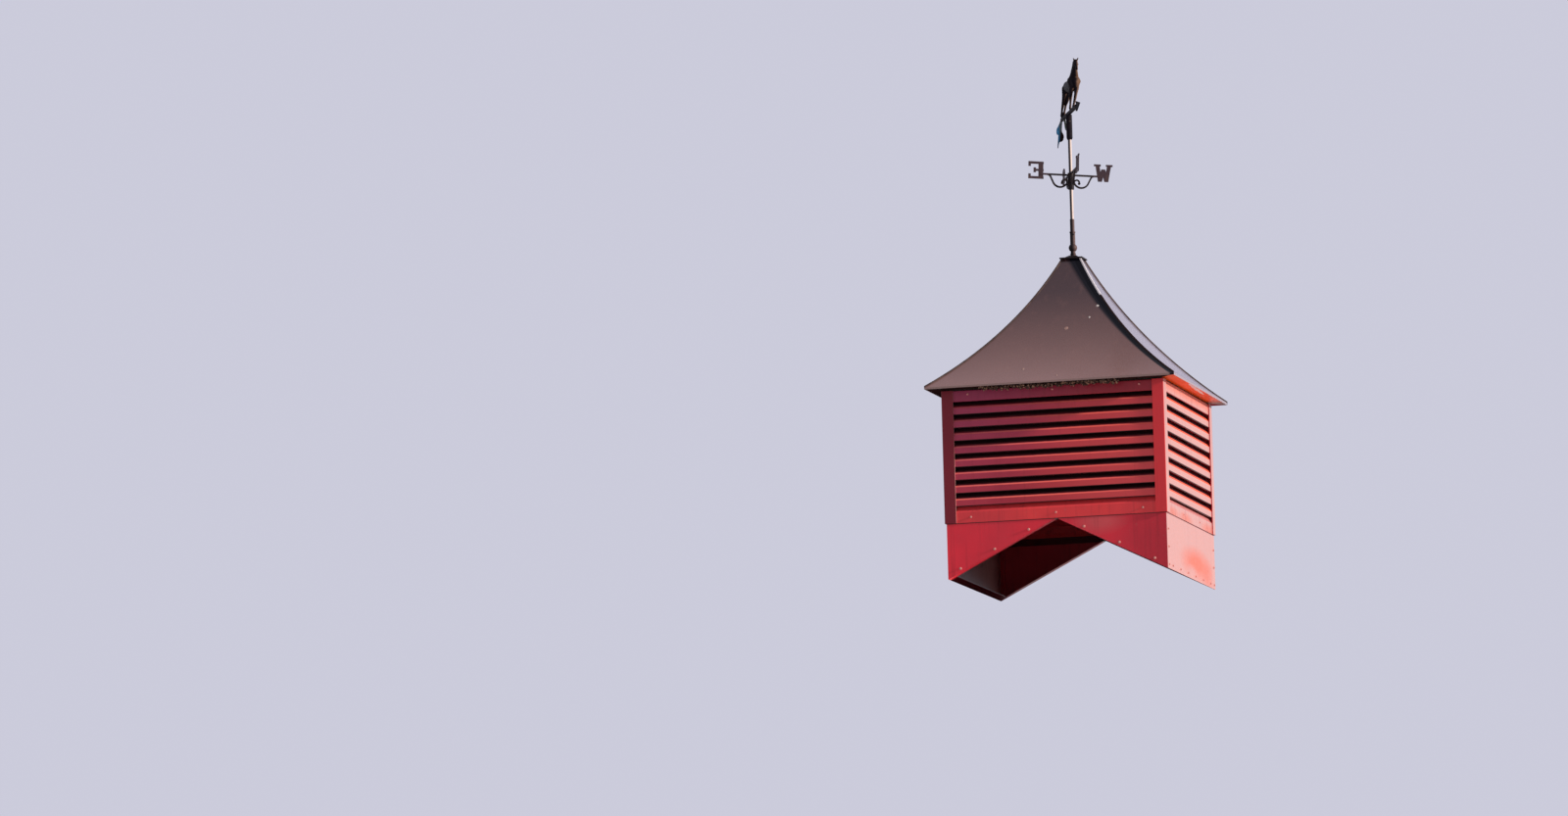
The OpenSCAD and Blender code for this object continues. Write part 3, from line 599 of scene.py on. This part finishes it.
# Painted shadow of the hip seam: a dark navy band beside the hip, wide at the top and narrow at the eave.
HIP_SHADOW = (0.006, 0.006, 0.011)
HIP_SHADOW_WIDTH = (0.022, 0.066)
HIP_SHADOW_EDGE = (1.25, 0.85)
SHINE_LIT, SHINE_IN_SHADOW = 0.5, 0.1
# Painted reflection: the right sheet alone gets a strong lilac sheen and a clear coat for the sky's
# reflection.
SHEEN_BY_SIDE = {"front": 0.25, "right": 1.00, "back": 0.25, "left": 0.25}
SKY_TINT = (0.86, 0.80, 1.00)
SHEEN_ROUGHNESS, COAT_ROUGHNESS = 0.35, 0.12
ROOF_COAT = {"front": 0.0, "right": 0.7, "back": 0.0, "left": 0.0}
ROOF_ROUGHNESS = {"front": (0.20, 0.29), "right": (0.10, 0.16), "back": (0.20, 0.29), "left": (0.20, 0.29)}
roof_low, roof_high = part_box("roof_front")


def bronze_paint(name, side, shift):
    finish = Finish(name, shift)
    # Painted light by slope: dark where the sheet is steep, pale where it is flat.
    colour = finish.blend(finish.span(finish.facing(2), STEEP, FLAT), BRONZE_DARK, BRONZE_CHALK_AND_LIGHT)
    colour = finish.blend(finish.span(finish.facing(2), *EDGE_ON), colour, BRONZE_EDGE)
    darker = finish.span(finish.grain(DARKER_SIZE), *DARKER_EDGE, 0.0, DARKER_SHARE)
    colour = finish.blend(darker, colour, BRONZE_DARK)
    runs = finish.span(finish.grain(1.0, detail=4, stretch=CHALK_RUNS), *CHALK_EDGE, 0.0, CHALK_SHARE)
    colour = finish.blend(runs, colour, BRONZE_CHALK_AND_LIGHT)
    mottle = finish.grain(DUSTED_SIZE, detail=5)
    colour = finish.blend(finish.span(mottle, *DUSTED_EDGE, 0.0, DUSTED_SHARE), colour, DUST)
    out = AWAY[side]
    from_hip = finish.vectors("DOT_PRODUCT", finish.world, out - Vector((-out.y, out.x, 0)))
    width = finish.span(finish.along(2), roof_low.z, roof_high.z, *HIP_SHADOW_WIDTH)
    # Painted shadow beside the hip, with less shine in it.
    in_hip_shadow = finish.span(finish.maths("DIVIDE", from_hip, width), *HIP_SHADOW_EDGE)
    rolling = finish.relief(finish.grain(ROLLING_SIZE, detail=1.0), ROLLING_DEPTH)
    finish.set(Base_Color=finish.blend(in_hip_shadow, colour, HIP_SHADOW),
               Roughness=finish.span(mottle, *MOTTLED, *ROOF_ROUGHNESS[side]),
               Specular_IOR_Level=finish.span(in_hip_shadow, 0.0, 1.0, SHINE_LIT, SHINE_IN_SHADOW),
               Coat_Weight=ROOF_COAT[side], Coat_Roughness=COAT_ROUGHNESS,
               Sheen_Weight=SHEEN_BY_SIDE[side], Sheen_Roughness=SHEEN_ROUGHNESS, Sheen_Tint=SKY_TINT,
               Normal=finish.relief(finish.grain(PAINT_SIZE), PAINT_DEPTH, rolling))
    return finish.material


for number, side in enumerate(SIDES):
    dress([f"roof_{side}"], bronze_paint(f"roof_paint_{side}", side, 37.3 + number))

# Hip seams: the edges of two roof sheets folded together and standing up along each hip.
# They are darker than the sheets, and the upper part of the near one has a painted highlight, almost white.
SEAM_DARK = (0.030, 0.016, 0.016)
SEAM_RUBBED = (0.060, 0.034, 0.030)
# Painted highlight: the upper part of the near hip seam is painted almost white.
SEAM_HIGHLIGHT = (0.960, 0.880, 0.910)
HIGHLIGHT_FROM = 1.545
HIGHLIGHT_EDGE = 0.004
OFF_MIDDLE = (0.02, 0.03)
SEAM_TONES, SEAM_TONE_EDGE = 0.05, (0.35, 0.65)
SEAM_MOTTLE, SEAM_DENT = 0.02, 0.0001
SEAM_ROUGHNESS, SEAM_SHINE = (0.45, 0.60), 0.06
seam = Finish("seam_paint", 36.0)
rubbed = seam.span(seam.grain(SEAM_TONES, detail=5), *SEAM_TONE_EDGE)
seam_colour = seam.blend(rubbed, SEAM_DARK, SEAM_RUBBED)
near_hip = seam.times(seam.span(seam.along(0), *OFF_MIDDLE),
                      seam.span(seam.along(1), -OFF_MIDDLE[0], -OFF_MIDDLE[1]))
high = seam.span(seam.along(2), HIGHLIGHT_FROM - HIGHLIGHT_EDGE, HIGHLIGHT_FROM + HIGHLIGHT_EDGE)
seam.set(Base_Color=seam.blend(seam.times(near_hip, high), seam_colour, SEAM_HIGHLIGHT),
         Roughness=seam.span(seam.grain(SEAM_MOTTLE), *MOTTLED, *SEAM_ROUGHNESS),
         Specular_IOR_Level=SEAM_SHINE, Normal=seam.relief(seam.grain(SEAM_MOTTLE, detail=2), SEAM_DENT))
dress(["hip_seams"], seam.material)

# Droppings: dried splashes on the roof. A pale streak on the right soffit is a painted reflection of light.
# Each is placed by its pixel in the photograph, on the surface that the camera sees there. A splash also has
# its radius in metres, and how much longer than wide it is.
SPLASHES = {"splash_high": (1119.8, 312.1, 0.0085, 1.3),
            "splash_middle": (1111.6, 323.8, 0.0060, 1.3),
            "splash_faint": (1087.7, 335.0, 0.0130, 1.2),
            "splash_faint_low": (1044.0, 376.7, 0.0080, 1.4),
            "splash_faint_edge": (1078.0, 383.0, 0.0050, 1.4)}
SPLASH_PALE = (0.700, 0.640, 0.620)
SPLASH_THIN = (0.330, 0.260, 0.240)
SPLASH_TONES, SPLASH_EDGE = 0.006, (0.35, 0.6)
SPLASH_CRUST, CRUST_SIZE = 0.0003, 0.002
SPLASH_ROUGHNESS = 0.85
SPLASH_LIFT = 0.0009
RIM_POINTS = 24
RIM_RAGGED, RIM_LOBES = 0.35, 1.7
RIM_INNER, CROWN = 0.7, 1.4
SPLASH_SEED = 2.3
# Painted reflection: a pale pink streak on the right soffit, where light is reflected up onto it.
STREAK_FROM, STREAK_TO = (1213.0, 391.6), (1228.0, 402.6)
STREAK_HALF = 0.010
STREAK_ROWS = 13
STREAK_TIP = 0.25
STREAK_UNEVEN, STREAK_BEAT = 0.3, 2.1
STREAK_PINK = (0.980, 0.860, 0.880)


def dull_two_tone(name, thick, thin, crusty=True):
    """Dull stuff in two tones, with a rough crust where it lies thick: droppings, or a pale painted
    reflection.
    """
    finish = Finish(name)
    tones = finish.span(finish.grain(SPLASH_TONES, detail=4), *SPLASH_EDGE)
    finish.set(Base_Color=finish.blend(tones, thick, thin), Roughness=SPLASH_ROUGHNESS)
    if crusty:
        finish.set(Normal=finish.relief(finish.grain(CRUST_SIZE), SPLASH_CRUST))
    return finish.material


def surface_at(u, v, node):
    """The point and outward direction on a node's surface, at a pixel of the photograph."""
    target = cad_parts[node].data
    tree = BVHTree.FromPolygons([vert.co.copy() for vert in target.vertices],
                                [tuple(face.vertices) for face in target.polygons])
    ray = ahead * FOCAL_LENGTH_PX + right * (u - IMAGE_WIDTH / 2) + upward * (IMAGE_HEIGHT / 2 - v)
    point, normal = tree.ray_cast(EYE, ray.normalized())[:2]
    return point, normal if normal.dot(ray) < 0 else -normal


def splat(mesh, place, out, radius, length, seed):
    """A flat ragged drop, longer down the surface, with a thicker middle."""
    down = (Vector((0, 0, -1)) + out * out.z).normalized()
    across = out.cross(down)
    rim = []
    for k in range(RIM_POINTS):
        angle = k * 2 * math.pi / RIM_POINTS
        wobble = rough.noise(Vector((math.cos(angle) * RIM_LOBES, math.sin(angle) * RIM_LOBES, seed)))
        reach = radius * (1 + RIM_RAGGED * wobble)
        spot = down * math.cos(angle) * reach * length + across * math.sin(angle) * reach
        rim.append((mesh.verts.new(place + spot - out * SPLASH_LIFT),
                    mesh.verts.new(place + spot * RIM_INNER + out * SPLASH_LIFT)))
    crown = mesh.verts.new(place + out * SPLASH_LIFT * CROWN)
    for k in range(RIM_POINTS):
        here, there = rim[k], rim[(k + 1) % RIM_POINTS]
        mesh.faces.new((here[0], there[0], there[1], here[1]))
        mesh.faces.new((here[1], there[1], crown))
    mesh.faces.new([pair[0] for pair in rim][::-1])


thick_splash = dull_two_tone("splash_paint", SPLASH_PALE, SPLASH_THIN)
faint_splash = dull_two_tone("faint_splash_paint", SPLASH_THIN, BRONZE_CHALK_AND_LIGHT)
for number, (name, (u, v, radius, length)) in enumerate(SPLASHES.items()):
    drop = bmesh.new()
    splat(drop, *surface_at(u, v, "roof_front"), radius, length, number * SPLASH_SEED)
    piece(name, drop, faint_splash if "faint" in name else thick_splash, "cupola")

start, end = (surface_at(*pixel, "soffit_right")[0] for pixel in (STREAK_FROM, STREAK_TO))
streak = bmesh.new()
rows = []
for k in range(STREAK_ROWS):
    middle = start.lerp(end, k / (STREAK_ROWS - 1))
    taper = STREAK_TIP + (1 - STREAK_TIP) * math.sin(math.pi * (k + 0.5) / STREAK_ROWS)
    half = STREAK_HALF * taper * (1 + STREAK_UNEVEN * math.sin(k * STREAK_BEAT))
    rows.append([streak.verts.new(middle + Vector((x * half, 0, z * SPLASH_LIFT)))
                 for x, z in ((1, -1), (-1, -1), (-1, 1), (1, 1))])
stack(streak, rows)
streak_paint = dull_two_tone("streak_paint", STREAK_PINK, SPLASH_PALE, crusty=False)
piece("soffit_streak", streak, streak_paint, "cupola")

# Cap, finial, compass and vane iron: cast and forged pieces with old bronze-black paint.
# The cap sits on the top of the roof, and the rest is clamped round the rod or turns on it. All are rubbed
# to warm metal in places, most of all the rod.
IRON_PAINT = (0.016, 0.012, 0.014)
IRON_WORN = (0.130, 0.075, 0.055)
LETTER_PAINT = (0.046, 0.030, 0.037)
VANE_PAINT = (0.009, 0.007, 0.011)
# Painted light: the rod and the finial's sleeve are painted paler on the side that faces the key light.
ROD_LIT = (0.560, 0.440, 0.400)
SOCKET_LIT = (0.100, 0.062, 0.060)
IRON_LIT_SIDE = (0.05, 0.70)
LETTERS_FROM = (0.118, 0.124)
RUB_SIZE, RUB_EDGE, RUB_METAL = 0.03, (0.52, 0.74), 0.5
PIT_SIZE, PIT_DEPTH = 0.006, 0.0003
IRON_MOTTLE, SMOOTHER, ROUGHER = 0.01, 0.07, 0.10


def dark_iron(name, shift, body=IRON_PAINT, worn=0.3, roughness=0.42, shine=0.25, bars=False, lit_body=None):
    """Old iron paint, rubbed through in places, and on some pieces painted paler towards the key light, as
    painted light.
    On the compass, the bars are darker than the letters."""
    finish = Finish(name, shift)
    rubbed = finish.span(finish.grain(RUB_SIZE, detail=6), *RUB_EDGE, 0.0, worn)
    if bars:
        from_rod = finish.vectors("LENGTH", finish.vectors("MULTIPLY", finish.world, (1, 1, 0)))
        body = finish.blend(finish.span(from_rod, *LETTERS_FROM), IRON_PAINT, body)
    if lit_body:
        body = finish.blend(finish.span(finish.facing(0), *IRON_LIT_SIDE), body, lit_body)
    uneven = finish.span(finish.grain(IRON_MOTTLE), *MOTTLED, roughness - SMOOTHER, roughness + ROUGHER)
    finish.set(Base_Color=finish.blend(rubbed, body, IRON_WORN), Roughness=uneven, Specular_IOR_Level=shine,
               Metallic=finish.span(rubbed, 0.0, 1.0, 0.0, RUB_METAL),
               Normal=finish.relief(finish.grain(PIT_SIZE, detail=4), PIT_DEPTH))
    return finish.material


dress(["roof_cap", "compass_hub"], dark_iron("iron_paint", 41.0, worn=0.2, shine=0.08))
dress(["ball_socket"], dark_iron("socket_paint", 41.9, shine=0.08, lit_body=SOCKET_LIT))
dress(["arm_north", "arm_east", "arm_south", "arm_west"],
      dark_iron("compass_paint", 42.5, LETTER_PAINT, 0.35, shine=0.06, bars=True))
dress(["rod"], dark_iron("rod_paint", 44.0, worn=0.4, roughness=0.34, shine=0.3, lit_body=ROD_LIT))
dress(["vane_tube", "arrow_shaft", "arrow_head"],
      dark_iron("vane_iron", 47.0, VANE_PAINT, 0.08, roughness=0.60, shine=0.04))

# Set screws: small hex screws that clamp the compass hub and the finial's sleeve to the rod, and one in the
# vane's tube. Each is given by its bearing, its height as a share of the piece, its sleeve's radius and body.
SET_SCREWS = {"compass_hub": (-62, 0.30, 0.0165, "cupola"), "ball_socket": (-62, 0.58, 0.0140, "cupola"),
              "vane_tube": (-70, 0.72, 0.0165, "vane")}
SET_SCREW_SIZE = 0.8
iron_screws = dark_iron("screw_iron", 49.0, worn=0.5)
for node, (degrees, share, radius, body) in SET_SCREWS.items():
    node_low, node_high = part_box(node)
    angle = math.radians(degrees)
    out = Vector((math.cos(angle), math.sin(angle), 0))
    place = out * radius + Vector((0, 0, node_low.z + (node_high.z - node_low.z) * share))
    screws(f"{node}_set_screw", [place], out, iron_screws, body, SET_SCREW_SIZE)

# Tail feather and scroll brace: a plate of copper with a quill along it, and a bent bar under the shaft.
# A bright blue patina lies in the hollow of the feather, and the brace is greened almost to black.
COPPER_BROWN = (0.085, 0.042, 0.034)
COPPER_DARK = (0.014, 0.009, 0.011)
PATINA = (0.085, 0.340, 0.640)
PATINA_PALE = (0.300, 0.360, 0.400)
PATINA_GREEN = (0.012, 0.036, 0.030)
# Painted highlight: how far copper must face the key light before it takes its warmer lit tone.
COPPER_LIT_SIDE = (0.45, 0.90)
TONE_SIZE, TONE_EDGE = 0.05, (0.44, 0.66)
SPECK_SIZE, SPECK_EDGE, SPECK_SHARE = 0.03, (0.66, 0.80), 0.7
BLOOM_SIZE, BLOOM_EDGE = 0.02, (0.25, 0.60)
COPPER_MOTTLE, COPPER_ROUGHNESS = 0.02, (0.36, 0.55)
DENT_SIZE, DENT_DEPTH = 0.012, 0.0007
VANE_TURN = math.radians(-67)
SHAFT_BACK = 0.221
BLUE_AT, PALE_AT = (-0.125, -0.050), (-0.030, -0.005)
BLUE_R, PALE_R = 0.085, 0.075
QUILL = [(-0.010, -0.006, 0.0040), (-0.060, -0.026, 0.0040), (-0.100, -0.056, 0.0036),
         (-0.124, -0.092, 0.0030), (-0.146, -0.126, 0.0024)]
forward = Vector((math.cos(VANE_TURN), math.sin(VANE_TURN), 0))
leftward = Vector((-math.sin(VANE_TURN), math.cos(VANE_TURN), 0))
shaft_low, shaft_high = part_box("arrow_shaft")
shaft_middle = Vector((0, 0, (shaft_low.z + shaft_high.z) / 2))


def on_vane(x, y, z):
    """A point in the vane's own directions: forward, to its left, and up from the shaft."""
    return shaft_middle + forward * x + leftward * y + Vector((0, 0, z))


def on_tail(x, z):
    """A point in the middle of the tail plate, from the shaft's back end."""
    return on_vane(x - SHAFT_BACK, 0, z)


def tube(mesh, points, across, sides=8):
    """A closed tapering tube through points of (place, radius), turned by a direction across it."""
    rings = []
    turn = 2 * math.pi / sides
    for k, (place, radius) in enumerate(points):
        heading = (points[min(k + 1, len(points) - 1)][0] - points[max(k - 1, 0)][0]).normalized()
        side = heading.cross(across).normalized()
        other = heading.cross(side)
        spokes = [side * math.cos(j * turn) + other * math.sin(j * turn) for j in range(sides)]
        rings.append([mesh.verts.new(place + spoke * radius) for spoke in spokes])
    stack(mesh, rings)


def old_copper(name, shift, blooms=(), green=0.0, shine=0.3, metal=0.15, brown=COPPER_BROWN, dark=COPPER_DARK,
               lit_tone=None):
    """Dark old copper with green specks, blooms of patina, and a warmer painted highlight on the side to the
    key light.
    """
    finish = Finish(name, shift)
    colour = finish.blend(finish.span(finish.grain(TONE_SIZE, detail=5), *TONE_EDGE), dark, brown)
    if lit_tone:
        colour = finish.blend(finish.span(finish.facing(0), *COPPER_LIT_SIDE), colour, lit_tone)
    specks = finish.span(finish.grain(SPECK_SIZE, detail=5), SPECK_EDGE[0] - green, SPECK_EDGE[1] - green)
    colour = finish.blend(finish.times(specks, SPECK_SHARE), colour, PATINA_GREEN)
    for centre, radius, paint, share in blooms:
        ragged = finish.span(finish.grain(BLOOM_SIZE, detail=4), *BLOOM_EDGE)
        cover = finish.times(finish.near(centre, radius), ragged)
        colour = finish.blend(finish.times(cover, share), colour, paint)
    finish.set(Base_Color=colour, Metallic=metal, Specular_IOR_Level=shine,
               Roughness=finish.span(finish.grain(COPPER_MOTTLE), *MOTTLED, *COPPER_ROUGHNESS),
               Normal=finish.relief(finish.grain(DENT_SIZE, detail=2), DENT_DEPTH))
    return finish.material


BLOOMS = [(tuple(on_tail(*BLUE_AT)), BLUE_R, PATINA, 1.0),
          (tuple(on_tail(*PALE_AT)), PALE_R, PATINA_PALE, 0.5)]
tail_copper = old_copper("tail_copper", 55.0, BLOOMS, shine=0.0, metal=0.0, brown=COPPER_DARK,
                         lit_tone=COPPER_BROWN)
dress(["arrow_tail"], tail_copper)
dress(["vane_scroll"], old_copper("scroll_copper", 58.0, green=0.35, shine=0.1))
quill = bmesh.new()
tube(quill, [(on_tail(x, z), r) for x, z, r in QUILL], leftward)
piece("tail_quill", quill, tail_copper, "vane")

# Horse: hollow cast copper, fixed by its hoofs to the shaft that it walks along, with its ears up.
# The casting keeps soft muscles, a mane in locks and a full tail, and it has gone a dark brown.
CAST_VOXEL = 0.0022
CAST_SMOOTHING, CAST_EASE = 5, 0.5
MUSCLE_SIZE, MUSCLE_DEPTH, MUSCLE_SEED = 0.045, 0.0022, Vector((5.1, 2.2, 0.7))
HAIR_SIZE, HAIR_DEPTH = 0.006, 0.0004
HAIR_ACROSS, HAIR_DOWN = 0.6, 2.0
LEG_FULLER = 0.0014
LEG_FROM, LEG_TO = (0.010, 0.020), (0.080, 0.110)
HOOF_CLEAR = 0.004
BODY_ASIDE, BODY_BAND = 0.018, (0.012, 0.130)
HEAD_ASIDE, HEAD_BAND = 0.001, (0.170, 0.250)
NECK_FULLER, NECK_FROM, NECK_TO, NECK_AHEAD = 0.55, (0.135, 0.175), (0.185, 0.240), (0.03, 0.07)
HIND_LEANER, HIND_FROM, HIND_BEHIND = 0.16, (0.05, 0.08), (0.02, 0.05)
MANE = [(0.140, 0.262), (0.130, 0.254), (0.120, 0.244), (0.110, 0.234), (0.100, 0.224), (0.090, 0.214),
        (0.080, 0.205), (0.070, 0.197), (0.060, 0.191)]
LOCK = [(0.000, 0.001, 0.010, 0.0036), (-0.004, 0.006, 0.006, 0.0042), (-0.007, 0.011, -0.006, 0.0036)]
LOCK_TIP = (-0.006, 0.014, 0.004, 0.0012)
LOCK_FALL, LOCK_VARIES, LOCK_SEED = 0.020, 0.010, (1.9, 0.4)
LOCK_SIDES = 7
EYE_AT = (0.164, 0.0105, 0.242)
EYE_R, EYE_SIDES = 0.0036, 10
EYE_LENS = ((-0.004, 0.8), (0.0, 1.0), (0.0012, 0.8), (0.0020, 0.3))
HORSE_BROWN = (0.017, 0.012, 0.016)
HORSE_DARK = (0.007, 0.005, 0.008)
# The horse's painted highlight: a warmer brown on the side to the key light.
HORSE_LIT = (0.120, 0.066, 0.042)
horse_copper = old_copper("horse_copper", 52.0, shine=0.03, metal=0.05, brown=HORSE_BROWN, dark=HORSE_DARK,
                          lit_tone=HORSE_LIT)
cast = bpy.data.objects.new("horse_rough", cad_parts["horse"].data.copy())
bpy.context.scene.collection.objects.link(cast)
skin = cast.modifiers.new("skin", "REMESH")
skin.mode = "VOXEL"
skin.voxel_size = CAST_VOXEL
ease = cast.modifiers.new("ease", "SMOOTH")
ease.factor = CAST_EASE
ease.iterations = CAST_SMOOTHING
shaped = bpy.data.meshes.new_from_object(cast.evaluated_get(bpy.context.evaluated_depsgraph_get()))
bpy.data.objects.remove(cast)
horse_mesh = bmesh.new()
horse_mesh.from_mesh(shaped)
bpy.data.meshes.remove(shaped)
horse_mesh.normal_update()


def part_way(value, low, high):
    """0 below one value, 1 above another, and a share of the way between them."""
    return min(max((value - low) / (high - low), 0.0), 1.0)


def aside(point):
    """How far a point is carried to the left: the body leans over its hoofs, and the head a little more.
    The neck is made fuller, and the hind part leaner."""
    over_shaft = point.z - shaft_middle.z
    ahead_of_rod = point.dot(forward)
    neck = (part_way(over_shaft, *NECK_FROM) * (1 - part_way(over_shaft, *NECK_TO))
            * part_way(ahead_of_rod, *NECK_AHEAD))
    hind = part_way(over_shaft, *HIND_FROM) * part_way(-ahead_of_rod, *HIND_BEHIND)
    off = point.dot(leftward) * (NECK_FULLER * neck - HIND_LEANER * hind)
    lean = BODY_ASIDE * part_way(over_shaft, *BODY_BAND) + HEAD_ASIDE * part_way(over_shaft, *HEAD_BAND)
    return leftward * (off + lean)


for vert in horse_mesh.verts:
    swell = MUSCLE_DEPTH * rough.noise(vert.co / MUSCLE_SIZE + MUSCLE_SEED)
    lie = Vector((vert.co.x * HAIR_ACROSS, vert.co.y * HAIR_ACROSS, vert.co.z * HAIR_DOWN)) / HAIR_SIZE
    hair = HAIR_DEPTH * rough.noise(lie)
    if vert.co.z > shaft_high.z + HOOF_CLEAR:
        over_shaft = vert.co.z - shaft_middle.z
        leg = part_way(over_shaft, *LEG_FROM) * (1 - part_way(over_shaft, *LEG_TO))
        vert.co += vert.normal * (swell + hair + LEG_FULLER * leg)
    vert.co += aside(vert.co)
for k, (x, z) in enumerate(MANE):
    for side in (-1, 1):
        fall = LOCK_FALL + LOCK_VARIES * rough.noise(Vector((k * LOCK_SEED[0], side, LOCK_SEED[1])))
        lock = [(on_vane(x + back, out * side, z + up), r) for back, out, up, r in LOCK]
        back, out, up, r = LOCK_TIP
        lock.append((on_vane(x + back, out * side, z + up - fall), r))
        tube(horse_mesh, [(place + aside(place), r) for place, r in lock], leftward, LOCK_SIDES)
for side in (-1, 1):
    eye = on_vane(EYE_AT[0], EYE_AT[1] * side, EYE_AT[2])
    eye += aside(eye)
    tube(horse_mesh, [(eye + leftward * side * out, EYE_R * wide) for out, wide in EYE_LENS],
         Vector((0, 0, 1)), EYE_SIDES)
horse = piece("horse_cast", horse_mesh, horse_copper, "vane")
for face in horse.data.polygons:
    face.use_smooth = True
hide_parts("horse")

low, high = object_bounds()
